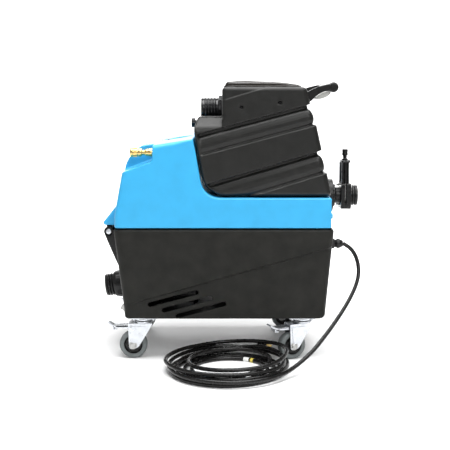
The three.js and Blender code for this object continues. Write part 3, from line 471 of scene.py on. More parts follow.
def polygon_distance(points, u, v):
    """Signed distance to a closed outline, negative inside."""
    nearest = np.full(np.broadcast(u, v).shape, np.inf)
    inside = np.zeros(nearest.shape, bool)
    for (ax, ay), (bx, by) in zip(points, np.roll(points, -1, axis=0)):
        ex, ey = bx - ax, by - ay
        length = ex * ex + ey * ey
        if length < 1e-12:
            continue
        wx, wy = u - ax, v - ay
        t = np.clip((wx * ex + wy * ey) / length, 0, 1)
        nearest = np.minimum(nearest, (wx - ex * t) ** 2 + (wy - ey * t) ** 2)
        if ay != by:
            crosses = (ay > v) != (by > v)
            inside ^= crosses & (u < ex * (v - ay) / ey + ax)
    return np.where(inside, -1, 1) * np.sqrt(nearest)


def meet(a, b, radius):
    """The intersection of two distances, with its edge rounded."""
    p, q = a + radius, b + radius
    return np.minimum(np.maximum(p, q), 0) + np.hypot(np.maximum(p, 0), np.maximum(q, 0)) - radius


def carve(a, b, radius):
    return meet(a, -b, radius)


def join(a, b, radius):
    return -meet(-a, -b, radius)


def ease(value, low, high):
    """0 below low, 1 above high, and smooth between."""
    t = np.clip((value - low) / (high - low), 0, 1)
    return t * t * (3 - 2 * t)


def surface_net(field):
    """Vertices, in grid steps, and quads of the surface where a sampled field is 0."""
    inside = field < 0
    shape = np.array(field.shape) - 1
    corners = list(itertools.product((0, 1), repeat=3))
    count = np.zeros(shape, np.int8)
    for i, j, k in corners:
        count += inside[i:shape[0] + i, j:shape[1] + j, k:shape[2] + k]
    active = (count > 0) & (count < 8)
    cells = np.argwhere(active)
    index = np.full(shape, -1)
    index[active] = np.arange(len(cells))
    total = np.zeros((len(cells), 3))
    hits = np.zeros(len(cells))
    for corner in corners:
        for axis in range(3):
            if corner[axis]:
                continue
            start = cells + corner
            end = start.copy()
            end[:, axis] += 1
            first, last = field[tuple(start.T)], field[tuple(end.T)]
            crossing = (first < 0) != (last < 0)
            t = np.where(crossing, first / np.where(crossing, first - last, 1), 0)
            point = start.astype(float)
            point[:, axis] += t
            total += point * crossing[:, None]
            hits += crossing
    vertices = total / hits[:, None]
    quads = []
    for axis in range(3):
        side, up = [a for a in range(3) if a != axis]
        low, high = [slice(1, -1)] * 3, [slice(1, -1)] * 3
        low[axis], high[axis] = slice(0, -1), slice(1, None)
        edge = inside[tuple(low)] != inside[tuple(high)]
        place = np.argwhere(edge)
        place[:, side] += 1
        place[:, up] += 1
        around = []
        for ds, du in ((0, 0), (-1, 0), (-1, -1), (0, -1)):
            cell = place.copy()
            cell[:, side] += ds
            cell[:, up] += du
            around.append(index[tuple(cell.T)])
        quad = np.stack(around, axis=1)
        outward = inside[tuple(place.T)]
        if axis == 1:
            outward = ~outward
        quad[~outward] = quad[~outward][:, ::-1]
        quads.append(quad)
    return vertices, np.concatenate(quads)


def mould(name, distance, low, high, step, body, finish, replaced, shear=0.0, keep=0.5):
    """A moulding's mesh from its distance function of x, y and z.

    The grid may be sheared upwards along x, so that its rows follow slanted ribs. Each
    vertex is then pulled onto the true surface, and takes its normal from the function.
    """
    low, high, step = (np.array(v, float) for v in (low, high, step))
    counts = np.ceil((high - low) / step).astype(int) + 1
    x, y, z = (low[i] + step[i] * np.arange(counts[i]) for i in range(3))
    x, y, z = x[:, None, None], y[None, :, None], z[None, None, :]
    vertices, quads = surface_net(np.broadcast_to(distance(x, y, z + shear * x), counts))
    vertices = low + vertices * step
    vertices[:, 2] += shear * vertices[:, 0]

    def slope(points):
        reach = 0.35
        result = np.empty_like(points)
        for axis in range(3):
            shift = np.zeros(3)
            shift[axis] = reach
            result[:, axis] = distance(*(points + shift).T) - distance(*(points - shift).T)
        result /= 2 * reach
        return result, np.maximum(np.linalg.norm(result, axis=1), 0.3)[:, None]

    for _ in range(3):
        gradient, size = slope(vertices)
        pull = distance(*vertices.T)[:, None] / size
        vertices -= gradient / size * np.clip(pull, -0.8, 0.8)
    mesh = bpy.data.meshes.new(name)
    mesh.from_pydata((vertices * MM).tolist(), [], quads.tolist())
    obj = bpy.data.objects.new(name, mesh)
    bpy.context.scene.collection.objects.link(obj)
    thin = obj.modifiers.new("thin", "DECIMATE")
    thin.ratio = keep
    bpy.context.view_layer.update()
    thinned = obj.evaluated_get(bpy.context.evaluated_depsgraph_get())
    mesh = bpy.data.meshes.new_from_object(thinned)
    obj.modifiers.clear()
    obj.data = mesh
    mesh.polygons.foreach_set("use_smooth", [True] * len(mesh.polygons))
    flat = np.empty(len(mesh.vertices) * 3, np.float32)
    mesh.vertices.foreach_get("co", flat)
    gradient, size = slope(flat.reshape(-1, 3).astype(float) / MM)
    mesh.normals_split_custom_set_from_vertices((gradient / size).tolist())
    return dress(obj, body, finish, replaced)


# ---- the tub

FRONT_TOP, FRONT_BOTTOM = -260, -236.5
REAR_TOP, REAR_BOTTOM = 229.5, 212.5
TUB_FLOOR, TUB_RIM, TUB_WALL = 97, 301, 5
TUB_SIDE = outline([
    (FRONT_BOTTOM, TUB_FLOOR, 10), (REAR_BOTTOM, TUB_FLOOR, 14), (REAR_TOP, TUB_RIM - 6),
    (REAR_TOP, 360), (-266.8, 360)])
TUB_HALF_FLOOR, TUB_HALF_RIM = 165, 170
VENT_START, VENT_RUN, VENT_PITCH = (-179.6, 129.7), (102.8, 27.5), (31, -13.2)
EXHAUST_Z, EXHAUST_BORE = 148, 21
CREASE_START, CREASE_END, CREASE_STEP = (-234, 129.7), (222, 260.9), 3.6
CREASE_SLOPE = (CREASE_END[1] - CREASE_START[1]) / (CREASE_END[0] - CREASE_START[0])


def front_wall(z):
    """Where the tub's drafted front wall stands at height z."""
    return FRONT_TOP + (FRONT_BOTTOM - FRONT_TOP) / (TUB_RIM - TUB_FLOOR) * (TUB_RIM - z)


def capsule(u, v, start, run, radius):
    """Distance to a straight slot with round ends."""
    t = np.clip(((u - start[0]) * run[0] + (v - start[1]) * run[1]) / (run[0] ** 2 + run[1] ** 2), 0, 1)
    return np.hypot(u - start[0] - t * run[0], v - start[1] - t * run[1]) - radius


def tub_distance(x, y, z):
    crease = CREASE_START[1] + (x - CREASE_START[0]) * CREASE_SLOPE
    inset = CREASE_STEP * ease(crease - z, -0.5, 2.8) * ease(x, -235, -215)
    half = TUB_HALF_FLOOR + (TUB_HALF_RIM - TUB_HALF_FLOOR) * (z - TUB_FLOOR) / (TUB_RIM - TUB_FLOOR)
    side = polygon_distance(TUB_SIDE, x, z)
    corner = (6 + 8 * ease(np.abs(x), 180, 225)) * (0.35 + 0.65 * ease(z, 99, 118))
    block = meet(side, np.abs(y) - half + inset, corner)
    shell = carve(meet(block, z - TUB_RIM, 7), block + TUB_WALL, 1)
    for i in range(3):
        start = VENT_START[0] + i * VENT_PITCH[0], VENT_START[1] + i * VENT_PITCH[1]
        shell = carve(shell, capsule(x, z, start, VENT_RUN, 5), 1.6)
    exhaust = np.maximum(np.hypot(y, z - EXHAUST_Z) - EXHAUST_BORE, x + 210)
    return carve(shell, exhaust, 0.5)


mould("base_tub_shell", tub_distance, (-264, -174, 93), (234, 174, 304), (2.6, 2.6, 2.4), "base", TUB,
      ["base_tub"], keep=0.35)

# ---- the solution tank, which is the hood

HOOD_BOTTOM, HOOD_SADDLE = 303.5, 370
HOOD_SIDE = outline([
    (-258.5, 240), (222, 240), (223, HOOD_SADDLE, 4), (-60, HOOD_SADDLE, 42), (-74.2, 455.8, 20),
    (-82.5, 499.5, 4), (-168, 486, 10), (-209, 480, 18), (-235, 446, 16), (-243, 405, 20),
    (-257, 330, 8)], 10)
HOOD_LIP = outline([(-284, 303.5, 2), (-240, 303.5), (-240, 350), (-258, 347, 5), (-288, 309, 3)])
CHAMBER_SIDE = outline([
    (-232, 310.5, 8), (215, 310.5, 4), (215, 363, 4), (-64, 363, 45), (-82, 456, 16), (-90, 488, 8),
    (-196, 470, 10), (-228, 400, 10)])
POCKET_WALL_X, POCKET_WALL_Y, POCKET_FLOOR, POCKET_SLOPE = -171.5, -100, 451, 0.374
SUMP_Z, NOTCH_RADIUS, NOTCH_START = 359, 42, 54
CATCH_Y, CATCH_Z = -100, 322
FILL_X, FILL_Y, FILL_RADIUS, RECESS_RADIUS, RECESS_FLOOR = -125, 40, 26, 33, 483
PANEL_X, PANEL_Z, PANEL_LEAN = -246, 380, 10.5 * DEGREE
PANEL_HALF_WIDTH, PANEL_HALF_HEIGHT = 58.4, 20.4
ROCKERS = (("rocker_vacuum", -34), ("rocker_pump", 0), ("rocker_heater", 34))


def box_distance(along, across, up, low, high):
    """Distance to a plain box between two corners."""
    parts = [np.maximum(a - v, v - b) for v, a, b in zip((along, across, up), low, high)]
    return np.maximum(np.maximum(parts[0], parts[1]), parts[2])


def notch_distance(y, z, radius):
    """Distance to the U-shaped channel that the upper tank's sump lies in."""
    return np.where(z > SUMP_Z, np.abs(y), np.hypot(y, z - SUMP_Z)) - radius


def hood_distance(x, y, z):
    half = 170 - 4 * (z - HOOD_BOTTOM) / 201.5
    edge = 4 + 8 * ease(-x, 84, 130) * (1 - 0.35 * ease(z, 440, 480))
    block = meet(polygon_distance(HOOD_SIDE, x, z), np.abs(y) - half, edge)
    block = meet(block, HOOD_BOTTOM - z, 2.5)
    lip = meet(polygon_distance(HOOD_LIP, x, z), np.abs(y) - 122, 5)
    shell = join(block, lip, 4)
    boss = np.maximum(np.hypot(y - CATCH_Y, z - CATCH_Z) - 9 + 0.27 * (x - 222), 215 - x)
    shell = join(shell, meet(boss, x - 233, 1.5), 2)
    floor = (POCKET_FLOOR + POCKET_SLOPE * (x - POCKET_WALL_X) - z) / math.hypot(1, POCKET_SLOPE)
    pocket = meet(meet(x - POCKET_WALL_X, y - POCKET_WALL_Y, 4), floor, 5)
    liner = np.maximum(np.maximum(x - POCKET_WALL_X - 8, y - POCKET_WALL_Y - 8), 400 - z)
    chamber = np.maximum(polygon_distance(CHAMBER_SIDE, x, z), np.abs(y) - 160)
    notch = np.maximum(notch_distance(y, z, NOTCH_RADIUS), NOTCH_START - x)
    chamber = np.maximum(np.maximum(chamber, -liner), 6 - notch)
    shell = carve(carve(shell, pocket, 1.5), chamber, 1)
    shell = carve(shell, notch, 4)
    fill = np.hypot(x - FILL_X, y - FILL_Y)
    ring = np.maximum(np.maximum(fill - 38, z - 488), 471 - z)
    shell = np.minimum(shell, ring)
    shell = carve(shell, np.maximum(fill - FILL_RADIUS, 440 - z), 0.6)
    shell = carve(shell, np.maximum(fill - RECESS_RADIUS, RECESS_FLOOR - z), 1)
    depth = (x - PANEL_X) * math.cos(PANEL_LEAN) - (z - PANEL_Z) * math.sin(PANEL_LEAN)
    rise = (x - PANEL_X) * math.sin(PANEL_LEAN) + (z - PANEL_Z) * math.cos(PANEL_LEAN)
    seat = box_distance(depth, y, rise, (-30, -PANEL_HALF_WIDTH, -PANEL_HALF_HEIGHT),
                        (0, PANEL_HALF_WIDTH, PANEL_HALF_HEIGHT))
    wells = [box_distance(depth, y - place, rise, (-30, -8, -12), (6.5, 8, 12)) for _, place in ROCKERS]
    return carve(shell, np.minimum.reduce([seat, *wells]), 0.8)


mould("solution_tank_shell", hood_distance, (-291, -173, 300), (237, 173, 503), (2.6, 2.6, 2.4),
      "hood", BLUE, ["solution_tank"], keep=0.35)

# ---- the recovery tank

TANK_FLOOR, TANK_TOP, SHROUD_FRONT = 373, 612, -19
TANK_FRONT = outline([
    (-24, TANK_FLOOR, 10), (420, TANK_FLOOR), (420, 700), (SHROUD_FRONT, 700), (SHROUD_FRONT, 547, 3),
    (-72, 547, 6), (-81, 521, 8), (-78.5, 502), (-70.5, 456, 20), (-60, 396, 22)], 8)
TANK_CHAMBER = outline([
    (-14, 379, 6), (196, 379, 4), (178, 462), (160, 560), (150, 595, 8), (150, 603), (0, 603, 6),
    (0, 516, 8), (-66, 512, 10), (-62, 456, 20), (-50, 400, 20)])
RIB_LINES = ((357.2, 0.3141), (415.1, 0.2965), (478.4, 0.2674), (529.0, 0.263))
# Rows of place in the ribs' order (whole numbers are the lines above) and depth below the proud face.
RIB_INSETS = (
    (-9.0, 0), (0.0, 0), (0.085, 6.8), (0.11, 7), (0.15, 5.2), (0.22, 3.4), (0.34, 2.1), (0.48, 2),
    (0.62, 2.8), (0.72, 4.3), (0.8, 6.6), (0.86, 10), (0.895, 13), (0.985, 13), (1.0, 1.2), (1.02, 0),
    (2.0, 0), (2.09, 6.8), (2.115, 7), (2.155, 5.2), (2.23, 3.4), (2.34, 2.2), (2.48, 2.3), (2.6, 3.4),
    (2.7, 5.2), (2.78, 7.8), (2.84, 11), (2.88, 13.5), (2.985, 13.5), (3.0, 4), (3.03, 3), (9.0, 3))
SIDE_SHARE, REAR_LIMIT = 0.85, 10
SHROUD_SCREWS = ((23.7, 568.6), (107.6, 578.2))
SHROUD_CREASE, SHROUD_CREASE_SLOPE = (-13.4, 582.9), 0.292
INLET_Z, INLET_BORE, INLET_SOCKET = 560.5, 24, 34.5
RIB_STEPS = np.linspace(-0.5, 4, 1801)


def smoothed_insets():
    """The ribs' section as a fine table, with its corners slightly rounded."""
    known = np.array(RIB_INSETS)
    table = np.interp(RIB_STEPS, known[:, 0], known[:, 1])
    kernel = np.hanning(13)
    return np.convolve(np.pad(table, 6, "edge"), kernel / kernel.sum(), "valid")


RIB_TABLE = smoothed_insets()


def rib_inset(x, z):
    """How far the tank's wall stands in from its proud face, from its slanted ribs."""
    lines = [height + slope * x for height, slope in RIB_LINES]
    band = np.where(z < lines[0], (z - lines[0]) / 58, 3 + (z - lines[3]) / 50)
    for i in range(3):
        within = (z >= lines[i]) & (z < lines[i + 1])
        band = np.where(within, i + (z - lines[i]) / (lines[i + 1] - lines[i]), band)
    front = np.interp(z, [380, 456, 521], [-52, -70.5, -81])
    return np.interp(band, RIB_STEPS, RIB_TABLE) * ease(x - front, 2, 12)


def tank_distance(x, y, z):
    inset = rib_inset(x, z)
    crease = SHROUD_CREASE[1] + SHROUD_CREASE_SLOPE * (x - SHROUD_CREASE[0])
    step = 1.6 * ease(z - crease, -0.5, 3.5)
    reach = np.abs(y)
    half = np.interp(z, [TANK_FLOOR, 620], [161.5, 165.5])
    side = reach - half + SIDE_SHARE * inset + step
    rear = (x - 188.5 + 0.235 * (z - 527)) * 0.973 + np.minimum(inset, REAR_LIMIT)
    block = meet(meet(rear, side, 13), z - TANK_TOP, 8)
    front = polygon_distance(TANK_FRONT, x, z)
    shelf = (z - 521 - 0.75 * (166 - reach)) * 0.8
    front = np.where(x < SHROUD_FRONT, meet(front, shelf, 3), front)
    block = meet(block, front, 9)
    sump = np.hypot(y, z - SUMP_Z)
    block = join(block, np.maximum(np.maximum(sump - 38.5, 60 - x), x - 242), 3)
    pockets = np.maximum(112 - reach, (528 + 0.4321 * (x - 78) - z) * 0.918)
    chamber = np.maximum(np.maximum(polygon_distance(TANK_CHAMBER, x, z), reach - 144), -pockets)
    well = np.maximum(np.maximum(sump - 33.5, 65 - x), x - 234)
    mouth = box_distance(x, y, z, (4, -92, 590), (142, 92, 700))
    block = carve(block, np.minimum.reduce([chamber, well, mouth]), 1)
    inlet = np.hypot(y, z - INLET_Z)
    socket = np.maximum(inlet - INLET_SOCKET, x - SHROUD_FRONT)
    bore = np.maximum(inlet - INLET_BORE, x - 5)
    drain = np.maximum(sump - 15, 220 - x)
    channel = np.maximum(np.abs(reach - 125) - 7, (536 + 0.4359 * (x - 84) - z) * 0.917)
    sockets = [np.hypot(x - place, z - height) - 3.6 for place, height in SHROUD_SCREWS]
    sockets = np.maximum(np.minimum.reduce(sockets), 155 - reach)
    return carve(block, np.minimum.reduce([socket, bore, drain, channel, sockets]), 0.8)


mould("recovery_tank_shell", tank_distance, (-86, -169, 235), (246, 169, 642), (3.0, 3.0, 1.5),
      "recovery", TANK, ["recovery_tank"], shear=0.285, keep=0.4)

LID_BOTTOM = 612.3
LID_FRONT, LID_REAR, LID_HALF = -16, 160, 108
LID_SIDE = outline([
    (LID_FRONT, 560), (LID_REAR, 560), (LID_REAR, 616), (110, 625, 60), (26, 629.6, 30), (-8, 626, 12),
    (LID_FRONT, 612)], 10)
LID_ACROSS = outline([
    (-LID_HALF, 560), (LID_HALF, 560), (LID_HALF, 621), (92, 629.3, 18), (-92, 629.3, 18),
    (-LID_HALF, 621)], 10)
LID_PLAN = outline(rectangle(LID_FRONT, LID_REAR, -LID_HALF, LID_HALF, 26), 8)


def lid_distance(x, y, z):
    crown = meet(polygon_distance(LID_SIDE, x, z), polygon_distance(LID_ACROSS, y, z), 6)
    dome = meet(crown, polygon_distance(LID_PLAN, x, y), 5)
    shell = carve(dome, dome + 3, 0.5)
    rim = np.maximum(polygon_distance(LID_PLAN, x, y) + 0.1, z - LID_BOTTOM - 2.4)
    rim = np.maximum(rim, -polygon_distance(LID_PLAN, x, y) - 9)
    return np.maximum(np.minimum(shell, rim), LID_BOTTOM - z)


mould("tank_lid_dome", lid_distance, (-20, -112, 608), (164, 112, 633), (2.2, 2.2, 1.2), "tank_lid",
      SMOKE, ["tank_lid"], keep=0.6)

# ---- front hinge and panel

HALF_TURN = Matrix.Rotation(math.pi, 4, "Z")
UPSIDE_DOWN = Matrix.Rotation(math.pi, 4, "X")
PANEL_FRAME = Matrix.Translation((PANEL_X, 0, PANEL_Z)) @ Matrix.Rotation(PANEL_LEAN, 4, "Y")

HINGE_X, HINGE_Z, HINGE_PIN, HINGE_HALF, KNUCKLE = -275, 289, 6, 120, 12
HINGE_AXIS = (HINGE_X, 0, HINGE_Z)
HINGE_BORE = HINGE_PIN + 0.4

lugs = []
for low in (-HINGE_HALF, HINGE_HALF - KNUCKLE):
    high = low + KNUCKLE
    lugs.append(slab("y", [
        (HINGE_X - 10.5, 286, 3), (-277, 264, 20), (-266, 238, 20), (-255, 212, 2),
        (front_wall(212) - 0.3, 212), (front_wall(285) - 0.3, 285)], low, high))
    lugs.append(collar("y", low, high, HINGE_BORE, 11, 1, HINGE_AXIS))
leaf = slab("y", [
    (front_wall(228) - 3, 228), (front_wall(228) - 0.3, 228), (front_wall(262) - 0.3, 262),
    (front_wall(262) - 3, 262)], -HINGE_HALF, HINGE_HALF)
piece("hinge_lower", "base", BLACK, [leaf, *lugs], ["hinge_lower_leaf"], bevel=0.6)
heads = [solid for y in (-90, -30, 30, 90) for z in (236, 254)
         for solid in placed(bolt("x", 3 - front_wall(z), 2.6, (0, -y, z), 9), HALF_TURN)]
piece("hinge_bolts", "base", ZINC, heads)
half = HINGE_HALF - KNUCKLE - 1.5
barrel = collar("y", -half, half, HINGE_BORE, 9.5, 1, HINGE_AXIS)
web = slab("y", [(-281, 289), (-269, 289), (-269, 300.5, 2), (-262, 300.5), (-262, 303.2), (-281, 303.2)],
           -half, half)
piece("hinge_upper", "hood", BLACK, [barrel, web], ["hinge_upper_leaf"], bevel=0.5)
end = HINGE_HALF + 1.5
piece("hinge_rod", "base", ZINC, [rod("y", -end, end, HINGE_PIN, HINGE_AXIS, 1.2)], ["hinge_pin"])


def panel_frame_bars():
    """The panel's face: two rails and four posts round the rockers' windows."""
    spans = [(-58, 58, low, high) for low, high in ((-20, -11.2), (11.2, 20))]
    spans += [(low, high, -13, 13) for low, high in ((-58, -41), (-27, -7), (7, 27), (41, 58))]
    return [slab("x", rectangle(*span, 2), -3, -0.4) for span in spans]


piece("panel_plate", "hood", GLOSS, placed(panel_frame_bars(), PANEL_FRAME), ["control_panel"], bevel=0.4)
screws = placed(bolts("x", 3, 1.2, [(0, y, 0) for y in (-52, 52)], 5), HALF_TURN)
piece("panel_screws", "hood", ZINC, placed(screws, PANEL_FRAME))
ROCKER_TILT = Matrix.Rotation(7 * DEGREE, 4, "Y")
for name, y in ROCKERS:
    paddle = slab("y", [(-2.5, 0, 6), (-4.5, 10, 1.5), (2, 10, 1), (3, 0), (2, -10, 1), (-4.5, -10, 1.5)],
                  y - 6.5, y + 6.5)
    mark = slab("y", [(-4.6, 5.2), (-4.1, 5.2), (-4.0, 7.6), (-4.5, 7.6)], y - 1, y + 1)
    tilt = PANEL_FRAME @ ROCKER_TILT
    piece(name + "_paddle", name, RED if name == "rocker_vacuum" else BLACK, placed([paddle], tilt), [name],
          bevel=0.6, slot="rocker_plastic")
    piece(name + "_mark", name, WHITE, placed([mark], tilt), slot="rocker_plastic")

# ---- fill cap, quick coupler, latch, catch

CAP_TOP, CAP_SEAT = 490, 483.3
FILL_AXIS = (FILL_X, FILL_Y, 0)
cap = turned("z", [
    (474, 0), (474, FILL_RADIUS - 1, 1), (CAP_SEAT, FILL_RADIUS - 1), (CAP_SEAT, 31.5, 1),
    (CAP_TOP - 3, 31.5, 2), (CAP_TOP - 3, 0)], FILL_AXIS)
rib = slab("z", rectangle(29, 32.2, -1.6, 1.6, 1), CAP_SEAT + 0.3, CAP_TOP - 3.4)
grip = slab("z", rectangle(FILL_X - 25, FILL_X + 25, FILL_Y - 5, FILL_Y + 5, 4), CAP_TOP - 4, CAP_TOP)
piece("fill_cap_moulding", "fill_cap", BLACK, [cap, grip, *spun(rib, 24, "Z", FILL_AXIS)], ["fill_cap"],
      bevel=0.7)

COUPLER = (0, -140, 469)
POCKET_BACK = POCKET_WALL_X - 0.3
coupler = [
    turned("x", [(POCKET_BACK, 0), (POCKET_BACK, 10.8, 0.6), (-174, 10.8, 0.8), (-174, 8.6), (-180, 8.6),
                 (-180, 0)], COUPLER, segments=6),
    turned("x", [(-173.6, 3.4), (-173.6, 9, 0.5), (-180, 9, 0.5), (-180.4, 8, 0.5), (-187, 7.6, 1),
                 (-189, 5.5, 1), (-207, 5.5, 0.8), (-207, 3.4)], COUPLER)]
piece("coupler_stem", "hood", BRASS, coupler, ["coupler_body"], bevel=0.3)
sleeve = turned("x", [
    (-196, 5.9), (-196, 8.2, 0.8), (-199, 9.4, 0.8), (-202, 9.4, 0.4), (-203, 8.6, 0.4), (-205, 8.6, 0.4),
    (-206, 9.5, 0.4), (-215, 9.5, 0.4), (-216, 10.4, 0.6), (-220, 10.4, 0.8), (-222, 9, 0.8),
    (-222, 6.5, 0.5), (-214, 5.9)], COUPLER)
knurl = slab("x", [(9, -0.5), (9.9, 0), (9, 0.5)], -214.8, -206.4)
piece("coupler_ring", "coupler_sleeve", BRASS, [sleeve, *spun(knurl, 30, "X", COUPLER)], ["coupler_sleeve"])

KNOB_Z = 530
LOBES, LOBE_RADIUS, LOBE_DEPTH = 12, 11, 1.4
rim = []
for k in range(2 * LOBES):
    radius = LOBE_RADIUS - LOBE_DEPTH * (k % 2)
    angle = math.pi * k / LOBES
    rim.append((radius * math.cos(angle), KNOB_Z + radius * math.sin(angle), 1))
wheel = slab("x", rim, -90.5, -82)
stem = turned("x", [(-91, 0), (-91, 8, 1), (-90, 9, 1), (-82, 9, 0.5), (-81.5, 6), (-79, 6), (-79, 0)],
              (0, 0, KNOB_Z))
piece("latch_wheel", "latch_knob", BLACK, [wheel, stem], ["tank_latch_knob"], bevel=0.6)
catch = bolts("x", 222, 2.4, [(0, CATCH_Y + 26, 312), (0, CATCH_Y - 24, 312)], 7)
piece("catch_screws", "hood", STEEL, catch)

# ---- hose ports: inlet, exhaust and outlet

INLET = (0, 0, INLET_Z)
inlet = [
    threaded("x", -68, -27, 29, INLET_BORE, 2.2, 7, INLET),
    turned("x", [(-28, INLET_BORE), (-28, 31, 1), (-26.3, 32.6, 1), (-19.3, 32.6, 0.6),
                 (-19.3, INLET_BORE)], INLET, segments=8),
    turned("x", [(-68, INLET_BORE), (-68, 27.5, 0.8), (-66, 27.5), (-66, INLET_BORE)], INLET)]
piece("inlet_spigot", "recovery", GLOSS, inlet, ["vacuum_inlet_port"], bevel=0.4)

DRAFT = math.atan((FRONT_BOTTOM - FRONT_TOP) / (TUB_RIM - TUB_FLOOR))
EXHAUST_FRAME = (Matrix.Translation((front_wall(EXHAUST_Z) - 0.3, 0, EXHAUST_Z))
                 @ Matrix.Rotation(-DRAFT, 4, "Y"))
exhaust = [
    threaded("x", -55.5, -32, 27, EXHAUST_BORE, 2, 6.5),
    turned("x", [(-55.5, EXHAUST_BORE), (-55.5, 25.4, 0.8), (-53, 25.4), (-53, EXHAUST_BORE)]),
    turned("x", [(-34, EXHAUST_BORE), (-34, 29.6, 1.5), (-28, 31, 2), (-3, 31, 1), (-3, 34), (0, 34),
                 (0, EXHAUST_BORE)])]
exhaust += spun(slab("x", [(29, -2, 1), (32, -1.6, 1), (32, 1.6, 1), (29, 2, 1)], -26, -5), 16, "X")
piece("exhaust_spigot", "base", BLACK, placed(exhaust, EXHAUST_FRAME), ["exhaust_port"], bevel=0.4)

SUMP_AXIS = (0, 0, SUMP_Z)
VALVE_BORE, VALVE_HALF, VALVE_FOOT, VALVE_HEAD = 15, 30, 328.5, 388.5
GATE_X, BONNET_HALF, BONNET_TOP = 271, 26, 442
GATE_AXIS = (GATE_X, 0, 0)
pipe = [turned("x", [
    (242.3, VALVE_BORE), (242.3, 27, 1.5), (247, 27, 1.5), (247, 20.5, 1), (250, 19, 1), (260.2, 19),
    (260.2, VALVE_BORE)], SUMP_AXIS)]
pipe += bolts("x", 246.6, 2.6, [(0, y, SUMP_Z + z) for y, z in round_places(6, 23, 0.5)], 4.4)
piece("valve_pipe", "recovery", BLACK, pipe, ["dump_valve_pipe"], bevel=0.3)


def valve_half(low, high):
    """One half of the gate valve's body, bored through, with its corners rounded at the foot."""
    neck = VALVE_BORE + 1
    foot, head = SUMP_Z - neck, SUMP_Z + neck
    parts = [
        slab("x", [(-VALVE_HALF, VALVE_FOOT, 9), (VALVE_HALF, VALVE_FOOT, 9), (VALVE_HALF, foot),
                   (-VALVE_HALF, foot)], low, high),
        slab("x", [(-VALVE_HALF, head), (VALVE_HALF, head), (VALVE_HALF, VALVE_HEAD, 4),
                   (-VALVE_HALF, VALVE_HEAD, 4)], low, high)]
    for near, far in ((-VALVE_HALF, -neck), (neck, VALVE_HALF)):
        parts.append(slab("x", rectangle(near, far, foot - 0.2, head + 0.2), low, high))
    parts.append(collar("x", low, high, VALVE_BORE, 22.5, 0, SUMP_AXIS))
    return parts


valve = valve_half(260.5, 269.2) + valve_half(272.8, 283.4) + valve_half(269.4, 272.6)[:1]
for low, high in ((264, 269.3), (272.7, 278)):
    valve.append(slab("x", [(-BONNET_HALF, 386), (BONNET_HALF, 386), (BONNET_HALF, BONNET_TOP, 5),
                            (-BONNET_HALF, BONNET_TOP, 5)], low, high))
for low, high in ((-BONNET_HALF, -22.5), (22.5, BONNET_HALF)):
    valve.append(slab("y", rectangle(266, 276, 388, 440), low, high))
valve.append(turned("z", [(438, 3.6), (438, 7, 1), (446, 7, 1.5), (446, 3.6)], GATE_AXIS))
valve.append(slab("x", rectangle(-20, 20, 437, 443, 2), 260.8, 281.4))
for y in (-14, 14):
    valve.append(slab("y", [(261.8, 390), (264.4, 390), (264.4, 434), (263, 436)], y - 1.5, y + 1.5))
    valve.append(slab("y", [(277.6, 390), (280.2, 390), (279, 436), (277.6, 434)], y - 1.5, y + 1.5))
piece("valve_body", "recovery", BLACK, valve, ["dump_valve_body"], bevel=0.5)
corners = [(0, y, z) for y in (-23, 23) for z in (335, 382)]
screws = bolts("x", 283.2, 2.6, corners, 6)
screws += [turned("x", [(254.5, 0), (254.5, 3, 0.6), (261, 3), (261, 0)], corner) for corner in corners]
piece("valve_screws", "recovery", STEEL, screws)
guides = [rod("z", 388, 437, 1.7, (262, y, 0), segments=16) for y in (-18, 18)]
piece("valve_guides", "recovery", ZINC, guides)
blade = [slab("x", [(-20, 336, 19), (20, 336, 19), (20, 388), (-20, 388)], 270, 272, 10),
         turned("z", [(386, 0), (386, 3), (452, 3, 0.5), (452, 0)], GATE_AXIS)]
piece("gate_blade", "dump_gate", STEEL, blade, ["dump_valve_blade"], bevel=0.3)
knob = turned("z", [
    (446.5, 3.3), (446.5, 4.6, 0.8), (453, 4.8, 1), (454, 7, 1), (457, 7, 0.8), (458.5, 6.4, 0.8),
    (462, 6.4, 0.8), (463, 7, 0.8), (468, 6.6, 1.4), (468, 0), (452.4, 0), (452.4, 3.3)], GATE_AXIS)
piece("gate_knob", "dump_gate", BLACK, [knob], ["dump_valve_knob"])
outlet = turned("x", [
    (283.7, 17), (283.7, 21), (287.4, 21, 0.5), (288, 24.3, 1), (292, 24.3, 1), (292.6, 21.6, 0.5),
    (293.6, 21.6, 0.5), (294.2, 24.3, 1), (300.7, 24, 1.5), (300.7, 17)], SUMP_AXIS)
piece("valve_outlet", "recovery", BLACK, [outlet], ["dump_valve_outlet"])

# ---- carrying handle

BAR = (227.7, 0, 611.6)
ARM_Y, ARM_FOOT, ARM_SLOPE = 125, (90, 555), 0.41
arms = []
for y in (-ARM_Y, ARM_Y):
    arms.append(slab("y", [
        (90, 544, 3), (176, 579, 8), (190, 594, 8), (205, 602, 8), (221, 606, 4), (219, 619, 4),
        (192, 613, 10), (168, 601, 10), (90, 566, 3)], y - 5, y + 5))
    arms.append(slab("y", [(100, 556), (168, 586), (168, 590), (100, 560)], y - 5.8, y + 5.8))
bar = turned("y", [(-130, 0), (-130, 7.5, 1), (-128.5, 10.5, 1.5), (128.5, 10.5, 1.5), (130, 7.5, 1),
                   (130, 0)], BAR)
rings = [rod("y", y - 2.4, y + 2.4, 11.4, BAR, 0.8) for y in (-116, 116)]
piece("handle_frame", "recovery", BLACK, [*arms, bar, *rings], ["carry_handle"], bevel=0.9,
      slot="handle_black")
heads = []
for x in (104, 140):
    z = ARM_FOOT[1] + (x - ARM_FOOT[0]) * ARM_SLOPE
    heads += bolt("y", ARM_Y + 4.6, 2.2, (x, 0, z), 8)
    heads += placed(bolt("y", ARM_Y + 4.6, 2.2, (-x, 0, z), 8), HALF_TURN)
piece("handle_bolts", "recovery", ZINC, heads)
